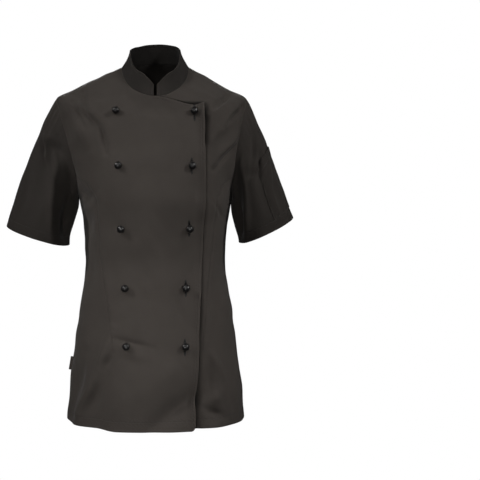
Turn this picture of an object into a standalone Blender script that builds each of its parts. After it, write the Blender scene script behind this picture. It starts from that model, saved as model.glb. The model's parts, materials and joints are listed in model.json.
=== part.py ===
"""Short-sleeved, double-breasted chef jacket in the form it has when worn, with nobody in it.

Sizes are in millimetres, and the meshes are made in metres. +X is the wearer's left, -Y the front and +Z up.
The origin is the middle of the neck's base, level with the neck ends of the shoulder seams, where shoulders
carry the jacket.

The body is one form, read at an angle and a level. The angle is in degrees round the body: 0 at the centre
front, 90 at the left side seam, 180 at the centre back. The level counts the rows of SECTIONS from the hem
up. Every cloth piece is a grid of points on that form, or starts from the edge of one, so the pieces meet
along their seams.
"""

from collections import namedtuple
import math

import bmesh
import bpy
import numpy as np
from mathutils import Matrix, Vector

MM = 0.001

WALL = 1.5  # cloth with its turned edges
PLY_GAP = 0.5  # between the two fronts where they overlap
SEAM_HALF_GAP = 0.2  # each side of a side or shoulder seam
SET_IN_GAP = 0.35  # between the body and what is sewn into its openings

Section = namedtuple("Section", "place half_width front back side_z front_z back_z lean shift drop")
SECTIONS = (
    Section("hem", 172, 131, 128, -684, -688, -687, 0, 0, 1.0),
    Section("hip", 166, 128, 126, -600, -600, -600, 0, 0, 1.0),
    Section("high hip", 156, 122, 115, -530, -530, -530, 0, 0, 1.0),
    Section("belly", 146, 114, 97, -455, -455, -455, 0, 0, 1.0),
    Section("waist", 135.5, 110, 84, -378, -378, -378, 0, 0, 1.0),
    Section("ribs", 139, 122, 92, -310, -310, -310, 0, 0, 1.0),
    Section("underarm", 148.5, 136, 108, -250, -250, -250, 0, 0, 1.0),
    Section("chest", 172, 124, 113, -152, -172, -152, -4, -4, 1.2),
    Section("shoulder tip", 185, 96, 98, -62, -104, -66, -7, -7, 1.55),
    Section("lap top", 149, 90, 90, -43, -88, -44, -5, -7, 1.4),
    Section("mid shoulder", 106, 85, 76, -20, -73, -15, -2, -3, 1.2),
    Section("neck", 65, 80, 60, -1, -58, 9, 0, 0, 1.0),
)
UNDERARM, CHEST, SHOULDER_TIP, LAP_LEVEL, NECK = 6, 7, 8, 9, 11
FRONT_ROUNDNESS, BACK_ROUNDNESS = 0.88, 0.94  # powers of the sine and cosine: 1 is an ellipse, less is boxier
MOST_SLOPE = 1.5  # times the smaller step beside a row of SECTIONS, so that no size overshoots where it turns
ANGLE_STEP, LEVEL_STEP = 1.0, 0.02  # for the directions out of the form
LEVEL_SAMPLES = 1101  # from which a level is read back from a height
ARMHOLE_FRONT_CUT, ARMHOLE_BACK_CUT = 24, 20  # degrees that the armhole bites into the front and the back

LAP_TOP_HALF, LAP_HEM_HALF = 95, 74  # from the centre front to the lap's edge
LAP_TOP_Z, LAP_HEM_Z = -74, -690
LAP_NECK_Z = -58  # the lap's top edge starts here and falls to LAP_TOP_Z
LAP_TOP_RUN = 75
LAP_HEM_DROP = 4.5  # the outer front hangs this much lower than the inner one
LAP_FADE = 25  # above the lap's top edge the outer front comes down to the form within this height
LAP_FADE_COLUMNS = 2  # and beside the lap within this many columns of the grid
LAP_ANGLE_PASSES = 3  # the lap's angle depends on its height, which depends on its angle

# Grooves have a depth below 0 and ridges above 0; start and end are (x, z).
Fold = namedtuple("Fold", "face start end width depth")
FRONT, BACK = 1, -1
FOLDS = (
    Fold(FRONT, (-76, -212), (-70, -246), 50, 7.0),
    Fold(FRONT, (76, -212), (70, -246), 50, 7.0),
    Fold(FRONT, (-131, -66), (-98, -114), 9, -3.4),
    Fold(FRONT, (-98, -114), (-91, -160), 10, -2.8),
    Fold(FRONT, (-116, -84), (-86, -128), 9, 2.2),
    Fold(FRONT, (-154, -86), (-122, -127), 8, -3.0),
    Fold(FRONT, (146, -84), (126, -120), 9, -3.2),
    Fold(FRONT, (122, -70), (104, -97), 8, -2.4),
    Fold(FRONT, (144, -142), (106, -188), 10, -3.2),
    Fold(FRONT, (-105, -246), (-86, -388), 9, -3.2),
    Fold(FRONT, (-86, -388), (-80, -470), 10, -2.6),
    Fold(FRONT, (105, -246), (88, -388), 9, -3.2),
    Fold(FRONT, (88, -388), (84, -470), 10, -2.6),
    Fold(FRONT, (-62, -506), (-12, -512), 9, -2.4),
    Fold(FRONT, (-105, -531), (-140, -640), 13, 4.0),
    Fold(FRONT, (-92, -560), (-118, -655), 11, -3.4),
    Fold(FRONT, (78, -622), (4, -696), 24, -4.0),
    Fold(FRONT, (118, -560), (124, -688), 14, -4.5),
    Fold(FRONT, (20, -590), (-50, -640), 26, 3.0),
    Fold(BACK, (-112, -250), (-80, -430), 11, -3.6),
    Fold(BACK, (112, -246), (82, -436), 11, -3.6),
    Fold(BACK, (-132, -132), (-92, -176), 13, -2.6),
    Fold(BACK, (130, -126), (94, -172), 13, -2.8),
    Fold(BACK, (-66, -352), (50, -372), 12, -3.6),
    Fold(BACK, (-44, -392), (78, -408), 11, -3.0),
    Fold(BACK, (-30, -560), (-42, -686), 18, -4.5),
    Fold(BACK, (62, -548), (76, -686), 17, -4.0),
    Fold(BACK, (-112, -590), (-124, -684), 15, 4.0),
)
SIDE_CALM, ARMHOLE_CALM = 18, 9  # degrees from a side seam and from an armhole in which folds die out
FOLD_END = 0.12  # of a half turn: where a fold's height starts and ends on a sine
# Waves round the hem: how many go round, how deep each is, and where it starts in degrees.
Wave = namedtuple("Wave", "count depth start")
HEM_WAVES = (Wave(7, 2.4, 30), Wave(11, 2.0, -65))
HEM_WAVES_TOP, HEM_WAVES_BOTTOM = -500, -690

LAP_COLUMNS, SIDE_COLUMNS, BACK_COLUMNS = 6, 8, 22
BODY_ROWS = (2, 2, 3, 2, 3, 2)  # cells in each interval of SECTIONS below the armhole
ARMHOLE_ROWS = 11
SHOULDER_ROWS = (2, 2, 2)

Sleeve = namedtuple("Sleeve", "name side cuff_outer cuff_inner")
SLEEVES = (
    Sleeve("right_sleeve", -1, (-287.6, -306), (-163, -345)),
    Sleeve("left_sleeve", 1, (268, -290.6), (159, -341)),
)
CUFF_DEPTH = 55  # half the cuff's size from front to back
CUFF_Y = -15
CUFF_TILT = 7  # degrees that the cuff's front edge drops
SLEEVE_ROWS = 10
SLEEVE_PULL = 0.9
SLEEVE_LENGTH = 230  # rough, so that folds are as wide along the sleeve as round it
SLEEVE_CALM = 0.2  # folds start at this share of the sleeve's length
PUFF_TOP, PUFF_FACE, PUFF_UNDER = 0.14, 0.16, -0.3
SLEEVE_FOLD_STOP = 1.25  # the share at which they would have faded out, past the cuff
SLEEVE_FOLD_FADE = 0.5  # the share of the length over which they fade
# On a sleeve, round is degrees from the top line to the front, along is 0 at the armhole and 1 at the cuff.
SleeveFold = namedtuple("SleeveFold", "round along round_end along_end width depth")
SLEEVE_FOLDS = (
    SleeveFold(62, 0.10, 74, 0.95, 13, -3.6),
    SleeveFold(40, 0.16, 84, 0.34, 9, -3.0),
    SleeveFold(120, 0.08, 96, 0.60, 12, 3.0),
    SleeveFold(250, 0.10, 286, 0.55, 13, -3.4),
    SleeveFold(300, 0.25, 250, 0.85, 13, 3.0),
)

COLLAR_WALL = 2.2
COLLAR_ROWS = 4
COLLAR_HEIGHT, COLLAR_SIDE_HEIGHT = 40, 37.5
COLLAR_END_HEIGHT = 22
COLLAR_END_RUN = 34  # from the collar's end to its full height
COLLAR_END_GAP = 3  # from the centre front to each end
COLLAR_LEAN_FRONT, COLLAR_LEAN_SIDE, COLLAR_LEAN_BACK = 0.16, 0.42, 0.14
COLLAR_BEND = 1.6  # 1 is a straight lean, and more leans sooner above the neck seam

STUD_LEVELS_Z = (-91, -191.5, -308, -422, -533)
STUD_HALF_SPREAD = (74, 67.5, 62.5, 56, 54.3)
STUD_BALL = 7.25
STUD_BALL_HEIGHT = 13
STUD_SHANK = 2.0
STUD_CAP = 5.5
STUD_CAP_THICKNESS = 1.5
STUD_LIFT, STUD_CAP_CLEARANCE = 0.5, 1.2
STUD_SIDES = 8
STUD_RINGS = 6
STUD_HOLE_LENGTH = 16
STUD_HOLE = 2.7
SCREW_MERGE = 0.0001

POCKET_FIRST, POCKET_COLUMNS = 0, 4  # columns of the left sleeve, counted from its top line to the front
POCKET_TOP_ROW, POCKET_BOTTOM_ROW = 4, 9
POCKET_WALL = 1.2
POCKET_CLEARANCE = 0.35

LABEL_TOP_Z, LABEL_BOTTOM_Z = -562, -588
LABEL_REACH, LABEL_THICKNESS, LABEL_CLEARANCE = 5.0, 1.0, 0.4


def smooth(t):
    t = np.clip(t, 0, 1)
    return t * t * (3 - 2 * t)


def mix(a, b, t):
    return a + (b - a) * t


def unit(vectors):
    return vectors / np.linalg.norm(vectors, axis=-1, keepdims=True)


def hermite(start, start_pull, end, end_pull, t):
    return (
        (2 * t**3 - 3 * t**2 + 1) * start
        + (t**3 - 2 * t**2 + t) * start_pull
        + (3 * t**2 - 2 * t**3) * end
        + (t**3 - t**2) * end_pull
    )


# The body's form

SIZES = np.array([section[1:] for section in SECTIONS], float)


def size_slopes():
    """Slopes of every size at the rows of SECTIONS."""
    slopes = np.gradient(SIZES, axis=0)
    steps = np.diff(SIZES, axis=0)
    same_way = steps[:-1] * steps[1:] > 0
    most = np.where(same_way, MOST_SLOPE * np.minimum(np.abs(steps[:-1]), np.abs(steps[1:])), np.inf)
    slopes[1:-1] = np.clip(slopes[1:-1], -most, most)
    return slopes


SIZE_SLOPES = size_slopes()


def sizes_at(level):
    """The columns of SECTIONS, from half_width on, at a level between its rows."""
    level = np.asarray(level, float)
    row = np.clip(np.floor(level), 0, NECK - 1).astype(int)
    t = (level - row)[..., None]
    found = hermite(SIZES[row], SIZE_SLOPES[row], SIZES[row + 1], SIZE_SLOPES[row + 1], t)
    return np.moveaxis(found, -1, 0)


def roundness_at(level, plain):
    return mix(plain, 1, smooth((level - CHEST) / (LAP_LEVEL - CHEST)))


def plain_form(angle, level):
    half_width, front, back, side_z, front_z, back_z, lean, shift, drop = sizes_at(level)
    sine, cosine = np.sin(np.radians(angle)), np.cos(np.radians(angle))
    ahead = cosine >= 0
    roundness = roundness_at(level, np.where(ahead, FRONT_ROUNDNESS, BACK_ROUNDNESS))
    reach = np.abs(cosine)
    x = half_width * np.sign(sine) * np.abs(sine) ** roundness + shift * sine**2
    y = lean + np.where(ahead, -front, back) * reach**roundness
    z = side_z + (np.where(ahead, front_z, back_z) - side_z) * reach**drop
    return np.stack([x, y, z], axis=-1)


def normals(shape, angle, level):
    """Unit vectors that point out of a shape of angle and level."""
    across = shape(angle + ANGLE_STEP, level) - shape(angle - ANGLE_STEP, level)
    higher, lower = np.minimum(level + LEVEL_STEP, NECK), np.maximum(level - LEVEL_STEP, 0)
    return unit(np.cross(across, shape(angle, higher) - shape(angle, lower)))


def armhole_share(level):
    """0 at the underarm and at the shoulder tip, and up to 1 between them."""
    t = np.clip((level - UNDERARM) / (SHOULDER_TIP - UNDERARM), 0, 1)
    return np.sqrt(np.sin(math.pi * t))


def line_relief(offset, run, width, depth):
    """The height of a fold at points given from its start, for a fold that runs by `run`."""
    along = np.clip(offset @ run / (run @ run), 0, 1)
    across = np.linalg.norm(offset - along[..., None] * run, axis=-1)
    ends = np.sin(math.pi * mix(FOLD_END, 1 - FOLD_END, along))
    return depth * ends * np.exp(-((across / width) ** 2))


def relief(angle, level, points):
    """The height of the folds and hem waves over the plain form."""
    from_front = np.abs((angle + 180) % 360 - 180)
    share = armhole_share(level)
    calm = {
        FRONT: smooth((90 - ARMHOLE_FRONT_CUT * share - from_front) / mix(SIDE_CALM, ARMHOLE_CALM, share)),
        BACK: smooth((from_front - 90 - ARMHOLE_BACK_CUT * share) / mix(SIDE_CALM, ARMHOLE_CALM, share)),
    }
    flat = points[..., [0, 2]]
    height = np.zeros(flat.shape[:-1])
    for fold in FOLDS:
        start, end = np.array(fold.start), np.array(fold.end)
        height += calm[fold.face] * line_relief(flat - start, end - start, fold.width, fold.depth)
    fade = smooth((HEM_WAVES_TOP - points[..., 2]) / (HEM_WAVES_TOP - HEM_WAVES_BOTTOM))
    for wave in HEM_WAVES:
        height += fade * wave.depth * np.cos(np.radians(wave.count * angle + wave.start))
    return height


def form(angle, level):
    points = plain_form(angle, level)
    return points + relief(angle, level, points)[..., None] * normals(plain_form, angle, level)


def angle_at(x, level):
    """The angle in the front at which a level is as far as x from the middle."""
    share = np.clip(np.abs(x) / sizes_at(level)[0], 0, 1)
    angle = np.degrees(np.arcsin(share ** (1 / roundness_at(level, FRONT_ROUNDNESS))))
    return np.sign(x) * angle


def lap_half_width(z):
    return mix(LAP_TOP_HALF, LAP_HEM_HALF, (LAP_TOP_Z - z) / (LAP_TOP_Z - LAP_HEM_Z))


def lap_top_z(x):
    return mix(LAP_NECK_Z, LAP_TOP_Z, smooth(np.abs(x) / LAP_TOP_RUN))


def level_at(z, x=0.0):
    """The level at which the plain front has this height at this x."""
    levels = np.linspace(0, NECK, LEVEL_SAMPLES)
    return level_of(z, levels, angle_at(np.full_like(levels, x), levels))


def level_of(z, levels, angles):
    """The level at which the plain form has this height on the line through these levels and angles."""
    return np.interp(z, plain_form(angles, levels)[:, 2], levels)


# Grids of points on the form. Rows go from the hem up, columns from the wearer's right to the left.

Grid = namedtuple("Grid", "angle level points out")


def side_levels():
    levels = [0.0]
    for start, cells in enumerate(BODY_ROWS):
        levels += [start + (k + 1) / cells for k in range(cells)]
    half_turn = math.pi / ARMHOLE_ROWS
    levels += [UNDERARM + 1 - math.cos(half_turn * (k + 1)) for k in range(ARMHOLE_ROWS)]
    for start, cells in enumerate(SHOULDER_ROWS, SHOULDER_TIP):
        levels += [start + (k + 1) / cells for k in range(cells)]
    return np.array(levels)


LEVELS = side_levels()
UNDERARM_ROW = sum(BODY_ROWS)
TIP_ROW = UNDERARM_ROW + ARMHOLE_ROWS
LAP_TOP_ROW = TIP_ROW + SHOULDER_ROWS[0]
EDGE_COLUMN = LAP_COLUMNS + SIDE_COLUMNS  # columns from the centre front to the side seam


def grid_on_form(angle, level):
    return Grid(angle, level, form(angle, level), normals(form, angle, level))


def lap_angle(share, level):
    """The angle at a share of the lap's half width, which changes with height."""
    angle = np.zeros_like(level)
    for _ in range(LAP_ANGLE_PASSES):
        z = plain_form(angle, level)[..., 2]
        angle = angle_at(share * lap_half_width(z), level)
    return angle


def front_half():
    """Angles and levels of the left half of the front grid, from the centre front to the side seam."""
    column = np.arange(EDGE_COLUMN + 1)
    lap_share = np.minimum(column / LAP_COLUMNS, 1)
    side_share = np.clip((column - LAP_COLUMNS) / SIDE_COLUMNS, 0, 1)

    edge_x = LAP_TOP_HALF * lap_share
    edge_level = np.array([level_at(lap_top_z(x), x) for x in edge_x])
    edge_level = mix(edge_level, LAP_LEVEL, side_share)
    edge_level[0] = NECK  # so the rows above the lap's top edge all start from the neck's centre front
    edge_angle = mix(lap_angle(lap_share, edge_level), 90, side_share)

    centre_z = np.linspace(SECTIONS[0].front_z, LAP_NECK_Z, LAP_TOP_ROW + 1)
    centre_share = level_at(centre_z) / NECK
    centre_share[-1] = 1
    side_row_share = LEVELS[: LAP_TOP_ROW + 1] / LAP_LEVEL
    outward = smooth(column / EDGE_COLUMN)
    level = edge_level * mix(centre_share[:, None], side_row_share[:, None], outward)
    side_angle = 90 - ARMHOLE_FRONT_CUT * armhole_share(level)
    angle = mix(lap_angle(lap_share * np.ones_like(level), level), side_angle, side_share)
    angle[-1] = edge_angle

    up = ((LEVELS[LAP_TOP_ROW + 1 :] - LAP_LEVEL) / (NECK - LAP_LEVEL))[:, None]
    fewer = np.maximum(len(up) / np.maximum(column, 1), 1)  # short columns fill up in fewer rows
    up = np.minimum(up * fewer, 1)
    upper_level = mix(edge_level, NECK, up)
    upper_angle = mix(edge_angle, 90 * column / EDGE_COLUMN, up)
    return np.vstack([angle, upper_angle]), np.vstack([level, upper_level])


def front_grid():
    angle, level = front_half()
    angle = np.hstack([-angle[:, :0:-1], angle])
    level = np.hstack([level[:, :0:-1], level])
    return grid_on_form(angle, level)


def back_grid():
    """The back, from its edge at the wearer's left over the centre back to its edge at the right."""
    share = np.linspace(-1, 1, BACK_COLUMNS + 1)
    centre_z = np.linspace(SECTIONS[0].back_z, SECTIONS[-1].back_z, len(LEVELS))
    levels = np.linspace(0, NECK, LEVEL_SAMPLES)
    centre_level = level_of(centre_z, levels, np.full_like(levels, 180))
    outward = smooth(np.abs(share))
    level = mix(centre_level[:, None], LEVELS[:, None], outward)
    half_arc = 90 - ARMHOLE_BACK_CUT * armhole_share(level)
    return grid_on_form(180 + share * half_arc, level)


# Walls and objects

SHARP_ANGLE = 40
SAME_POINT = 1e-7


def new_object(name, mesh, look, collection):
    mesh.materials.append(look)
    mesh.shade_smooth()
    mesh.set_sharp_from_angle(angle=math.radians(SHARP_ANGLE))
    piece = bpy.data.objects.new(name, mesh)
    collection.objects.link(piece)
    return piece


def wall_between(name, outer, inner, kept=None, round_trip=False):
    """A closed mesh between two grids of points over the kept cells, with a rim along their edges."""
    rows, columns = outer.shape[:2]
    index = np.arange(rows * columns).reshape(rows, columns)
    if round_trip:
        index = np.hstack([index, index[:, :1]])
    cells = np.argwhere(np.ones((rows - 1, index.shape[1] - 1), bool) if kept is None else kept)
    skin = []
    for row, column in cells:
        near, right = index[row, column], index[row, column + 1]
        far, above = index[row + 1, column + 1], index[row + 1, column]
        skin += [(near, right, far), (near, far, above)]
    ends = {(face[k], face[(k + 1) % 3]) for face in skin for k in range(3)}
    under = rows * columns
    lining = [(c + under, b + under, a + under) for a, b, c in skin]
    rim = [(b, a, a + under, b + under) for a, b in ends if (b, a) not in ends]

    body = bmesh.new()
    points = np.vstack([outer.reshape(-1, 3), inner.reshape(-1, 3)])
    corners = [body.verts.new(point * MM) for point in points]
    for face in skin + lining + sorted(rim):
        body.faces.new([corners[k] for k in face])
    bmesh.ops.remove_doubles(body, verts=body.verts, dist=SAME_POINT)
    bmesh.ops.delete(body, geom=[v for v in body.verts if not v.link_faces], context="VERTS")
    bmesh.ops.triangulate(body, faces=body.faces)
    mesh = bpy.data.meshes.new(name)
    body.to_mesh(mesh)
    body.free()
    return mesh


def look(name, colour, roughness, coat=0.0):
    material = bpy.data.materials.new(name)
    material.use_nodes = True
    shader = material.node_tree.nodes["Principled BSDF"]
    shader.inputs["Base Color"].default_value = (*colour, 1)
    shader.inputs["Roughness"].default_value = roughness
    shader.inputs["Metallic"].default_value = 0.0
    shader.inputs["Coat Weight"].default_value = coat
    material.diffuse_color = (*colour, 1)
    return material


# Seams: the two walls that meet there share one direction through the cloth

Seam = namedtuple("Seam", "points through into")


def seam_between(points, out, pull, centre, round_trip):
    """The seam from the body's edge into a piece that is sewn on, which leaves the edge along `pull`."""
    if round_trip:
        run = np.roll(points, -1, axis=0) - np.roll(points, 1, axis=0)
    else:
        run = np.gradient(points, axis=0)
    sewn_out = unit(np.cross(run, pull))
    sewn_out *= np.sign(np.sum(sewn_out * (points - centre), axis=-1, keepdims=True))
    through = unit(out + sewn_out)
    into = unit(np.cross(through, run))
    into *= np.sign(np.sum(into * pull, axis=-1, keepdims=True))
    return Seam(points, through, into)


# Sleeves


def cuff_ring(sleeve, turn):
    """The cuff's points at angles round it, and the direction along the sleeve there."""
    outer, inner = (np.array([x, CUFF_Y, z], float) for x, z in (sleeve.cuff_outer, sleeve.cuff_inner))
    half = (outer - inner) / 2
    tilt = math.radians(CUFF_TILT)
    forward = np.array([0, -math.cos(tilt), -math.sin(tilt)])
    along = unit(np.cross(half, forward))
    along *= -np.sign(along[2])
    turn = turn[:, None]
    return (outer + inner) / 2 + np.cos(turn) * half + np.sin(turn) * CUFF_DEPTH * forward, along


def sleeve_pulls(sleeve, ring):
    """The pulls at the armhole and at the cuff that bend the sleeve between them, and the cuff's ring."""
    turn = np.linspace(0, 2 * math.pi, len(ring), endpoint=False)
    cuff, along = cuff_ring(sleeve, turn)
    reach = np.linalg.norm(cuff - ring, axis=-1, keepdims=True)
    top, under = np.maximum(np.cos(turn), 0) ** 2, np.maximum(-np.cos(turn), 0) ** 2
    puff = PUFF_FACE + (PUFF_TOP - PUFF_FACE) * top + (PUFF_UNDER - PUFF_FACE) * under
    outward = puff[:, None] * np.array([sleeve.side, 0, 0])
    return reach * (SLEEVE_PULL * (cuff - ring) / reach + outward), reach * SLEEVE_PULL * along, cuff


def tube_normals(points):
    """Unit vectors out of a tube whose rows are closed rings."""
    across = np.roll(points, -1, axis=1) - np.roll(points, 1, axis=1)
    out = unit(np.cross(across, np.gradient(points, axis=0)))
    return out * np.sign(np.mean(np.sum(out * (points - points.mean(axis=1, keepdims=True)), axis=-1)))


def sleeve_relief(turn_degrees, along):
    height = np.zeros(np.broadcast(turn_degrees, along).shape)
    for fold in SLEEVE_FOLDS:
        start = np.array([fold.round, fold.along * SLEEVE_LENGTH])
        run = np.array([fold.round_end, fold.along_end * SLEEVE_LENGTH]) - start
        place = np.stack(np.broadcast_arrays(turn_degrees, along * SLEEVE_LENGTH), axis=-1)
        height += line_relief(place - start, run, fold.width, fold.depth)
    return height * smooth(along / SLEEVE_CALM) * smooth((SLEEVE_FOLD_STOP - along) / SLEEVE_FOLD_FADE)


def sleeve_walls(seam, pull, cuff_pull, cuff):
    """The sleeve's outer points, a row for each ring from the armhole down, and which way is out."""
    along = np.linspace(0, 1, SLEEVE_ROWS + 1)[:, None, None]
    start = seam.points + SET_IN_GAP * seam.into
    points = hermite(start, pull, cuff, cuff_pull, along)
    turn = np.linspace(0, 360, len(start), endpoint=False)
    out = tube_normals(points)
    points = points + sleeve_relief(turn, along[..., 0])[..., None] * out
    out = tube_normals(points)
    out[0] = seam.through
    return points, out


# Collar


def collar_walls(seam, angle):
    """The collar's outer points, a row for each height from the neck seam up, and which way is out."""
    base = seam.points + SET_IN_GAP * seam.into
    for end, inner in ((0, 1), (-1, -2)):
        step = base[inner] - base[end]
        base[end] += step * COLLAR_END_GAP / np.linalg.norm(step)
    run = np.concatenate([[0], np.cumsum(np.linalg.norm(np.diff(base, axis=0), axis=-1))])
    from_end = np.clip(np.minimum(run, run[-1] - run) / COLLAR_END_RUN, 0, 1)
    full_height = mix(COLLAR_HEIGHT, COLLAR_SIDE_HEIGHT, np.sin(np.radians(angle)) ** 2)
    height = mix(COLLAR_END_HEIGHT, full_height, 1 - (1 - from_end) ** 2)[:, None]
    lean = collar_lean(angle)[:, None]
    inward = -unit(base * [1, 1, 0])
    rows = []
    for share in np.linspace(0, 1, COLLAR_ROWS + 1):
        lean_in = lean * (1 - (1 - share) ** COLLAR_BEND)
        rows.append(base + height * (share * np.sqrt(1 - lean**2) * [0, 0, 1] + lean_in * inward))
    points = np.array(rows)
    out = unit(np.cross(np.gradient(points, axis=1), np.gradient(points, axis=0)))
    out *= np.sign(np.mean(np.sum(out * points * [1, 1, 0], axis=-1)))
    out[0] = seam.through
    return points, out


def collar_lean(angle):
    plain = np.where(np.cos(np.radians(angle)) > 0, COLLAR_LEAN_FRONT, COLLAR_LEAN_BACK)
    return mix(plain, COLLAR_LEAN_SIDE, np.sin(np.radians(angle)) ** 2)


# The body: the two fronts and the back, and the seams along its openings

ARMHOLE = slice(UNDERARM_ROW, TIP_ROW + 1)
RIGHT_NECK, LEFT_NECK = slice(EDGE_COLUMN, None, -1), slice(None, EDGE_COLUMN - 1, -1)


class Body:
    """Grids of the fronts and the back, with the direction through the cloth at each of their points."""

    def __init__(self):
        self.front, self.back = front_grid(), back_grid()
        self.lift = outer_front_lift(self.front)
        self.outer_front = self.front.points + self.lift[..., None] * self.front.out
        self.front_through, self.back_through = self.front.out.copy(), self.back.out.copy()

    def armhole_edges(self, side):
        """The columns of the front and back grids at this side's armhole."""
        return (-1, 0) if side > 0 else (0, -1)

    def round_armhole(self, side, kind):
        """Points or directions from the shoulder tip down the front edge, then up the back edge."""
        front_edge, back_edge = self.armhole_edges(side)
        front, back = getattr(self.front, kind), getattr(self.back, kind)
        return np.vstack([front[ARMHOLE, front_edge][::-1], back[ARMHOLE, back_edge][1:-1]])

    def round_neck(self, front_right, front_left, back):
        """Grid values from the outer front's end, round the wearer's right side to the inner front's end."""
        return np.concatenate([front_right[-1, RIGHT_NECK], back[-1, -2:0:-1], front_left[-1, LEFT_NECK]])

    def sleeve_seam(self, side, pull):
        ring = self.round_armhole(side, "points")
        seam = seam_between(ring, self.round_armhole(side, "out"), pull, ring.mean(axis=0), True)
        front_edge, back_edge = self.armhole_edges(side)
        self.front_through[ARMHOLE, front_edge] = seam.through[: ARMHOLE_ROWS + 1][::-1]
        self.back_through[ARMHOLE, back_edge] = np.vstack([seam.through[ARMHOLE_ROWS:], seam.through[:1]])
        return seam

    def collar_seam(self):
        points = self.round_neck(self.outer_front, self.front.points, self.back.points)
        out = self.round_neck(self.front.out, self.front.out, self.back.out)
        middle = np.array([0, 0, points[:, 2].mean()])
        seam = seam_between(points, out, np.array([0, 0, 1.0]), middle, False)
        right, left = seam.through[: EDGE_COLUMN + 1], seam.through[: -EDGE_COLUMN - 2 : -1]
        self.front_through[-1, RIGHT_NECK] = right
        self.front_through[-1, EDGE_COLUMN:] = left
        self.front_through[LAP_TOP_ROW:, EDGE_COLUMN] = right[0]  # rows above the lap all start here
        self.back_through[-1] = seam.through[EDGE_COLUMN : EDGE_COLUMN + BACK_COLUMNS + 1][::-1]
        return seam

    def panels(self):
        """The name, outer points, direction through the cloth and grid cells of each panel."""
        parting = np.array([0, SEAM_HALF_GAP, 0])
        inner_front, back = self.front.points.copy(), self.back.points.copy()
        outer_front = self.outer_front.copy()
        outer_front[0, :, 2] -= LAP_HEM_DROP * self.lift[0] / self.lift.max()
        for points in (outer_front, inner_front):
            points[:, [0, -1]] -= parting
        back[:, [0, -1]] += parting
        return (
            ("right_front", outer_front, self.front_through, front_cells(-1)),
            ("left_front", inner_front, self.front_through, front_cells(1)),
            ("back", back, self.back_through, None),
        )


def outer_front_lift(front):
    """How far the outer front stands off the form: one ply over the inner front, then down to the form."""
    column = np.arange(-EDGE_COLUMN, EDGE_COLUMN + 1)
    sideways = smooth((column + LAP_COLUMNS + LAP_FADE_COLUMNS) / LAP_FADE_COLUMNS)
    rise = front.points[..., 2] - lap_top_z(front.points[..., 0])
    return (WALL + PLY_GAP) * sideways * (1 - smooth(rise / LAP_FADE))


def front_cells(side):
    """The grid cells that one front covers: its own half, and the lap past the centre front."""
    column = np.arange(2 * EDGE_COLUMN) - EDGE_COLUMN
    own = column >= 0 if side > 0 else column < 0
    lapped = (column >= -LAP_COLUMNS) & (column < LAP_COLUMNS)
    row = np.arange(len(LEVELS) - 1)[:, None]
    return own | (lapped & (row < LAP_TOP_ROW))


def build_sleeve(sleeve, body, collection, cloth):
    pull, cuff_pull, cuff = sleeve_pulls(sleeve, body.round_armhole(sleeve.side, "points"))
    seam = body.sleeve_seam(sleeve.side, pull)
    points, out = sleeve_walls(seam, pull, cuff_pull, cuff)
    order = slice(None, None, sleeve.side)  # the rows run outwards, so the right sleeve's are turned round
    mesh = wall_between(sleeve.name, points[order], (points - WALL * out)[order], round_trip=True)
    new_object(sleeve.name, mesh, cloth, collection)
    return points, out


def build_collar(body, collection, cloth):
    angle = body.round_neck(body.front.angle, body.front.angle, body.back.angle)
    points, out = collar_walls(body.collar_seam(), angle)
    mesh = wall_between("collar", points[:, ::-1], (points - COLLAR_WALL * out)[:, ::-1])
    new_object("collar", mesh, cloth, collection)


def pen_pocket(collection, cloth, points, out):
    columns = np.arange(POCKET_FIRST, POCKET_FIRST + POCKET_COLUMNS + 1) % points.shape[1]
    rows = slice(POCKET_TOP_ROW, POCKET_BOTTOM_ROW + 1)
    base, out = points[rows][:, columns], out[rows][:, columns]
    inner = base + POCKET_CLEARANCE * out
    mesh = wall_between("pen_pocket", inner + POCKET_WALL * out, inner)
    new_object("pen_pocket", mesh, cloth, collection)


def side_label(collection, cloth):
    levels = np.linspace(0, UNDERARM, LEVEL_SAMPLES)
    ends = level_of([LABEL_TOP_Z, LABEL_BOTTOM_Z], levels, np.full_like(levels, -90))
    top, bottom = form(np.full(2, -90.0), ends)
    up = unit(top - bottom)
    out = unit(np.cross(up, np.cross([-1.0, 0, 0], up)))
    mesh = bpy.data.meshes.new("side_label")
    body = bmesh.new()
    bmesh.ops.create_cube(body, size=MM)
    bmesh.ops.scale(body, verts=body.verts, vec=(LABEL_REACH, LABEL_THICKNESS, LABEL_TOP_Z - LABEL_BOTTOM_Z))
    body.to_mesh(mesh)
    body.free()
    piece = new_object("side_label", mesh, cloth, collection)
    middle = (top + bottom) / 2 + out * (LABEL_CLEARANCE + LABEL_REACH / 2)
    piece.matrix_world = placed(middle, out, up)


def placed(point, x_axis, z_axis):
    """The matrix of an object at a point, with its X and Z axes along these."""
    x_axis, z_axis = Vector(x_axis), Vector(z_axis)
    matrix = Matrix((x_axis, z_axis.cross(x_axis), z_axis)).transposed().to_4x4()
    matrix.translation = Vector(point) * MM
    return matrix


# Studs and their holes


def stud_mesh():
    """A ball on a shank with a cap behind the cloth: a profile from the top down, turned round."""
    base = WALL + PLY_GAP + STUD_LIFT
    half_height = STUD_BALL_HEIGHT / 2
    neck_turn = math.pi - math.asin(STUD_SHANK / STUD_BALL)
    ball = [
        (STUD_BALL * math.sin(turn), base + half_height * (1 + math.cos(turn)))
        for turn in np.linspace(0, neck_turn, STUD_RINGS)
    ]
    cap_top = -WALL - STUD_CAP_CLEARANCE
    cap_bottom = cap_top - STUD_CAP_THICKNESS
    profile = ball + [(STUD_SHANK, cap_top), (STUD_CAP, cap_top), (STUD_CAP, cap_bottom), (0, cap_bottom)]
    mesh = bpy.data.meshes.new("stud")
    edges = [(k, k + 1) for k in range(len(profile) - 1)]
    mesh.from_pydata([(r * MM, 0, z * MM) for r, z in profile], edges, [])
    return mesh


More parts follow.
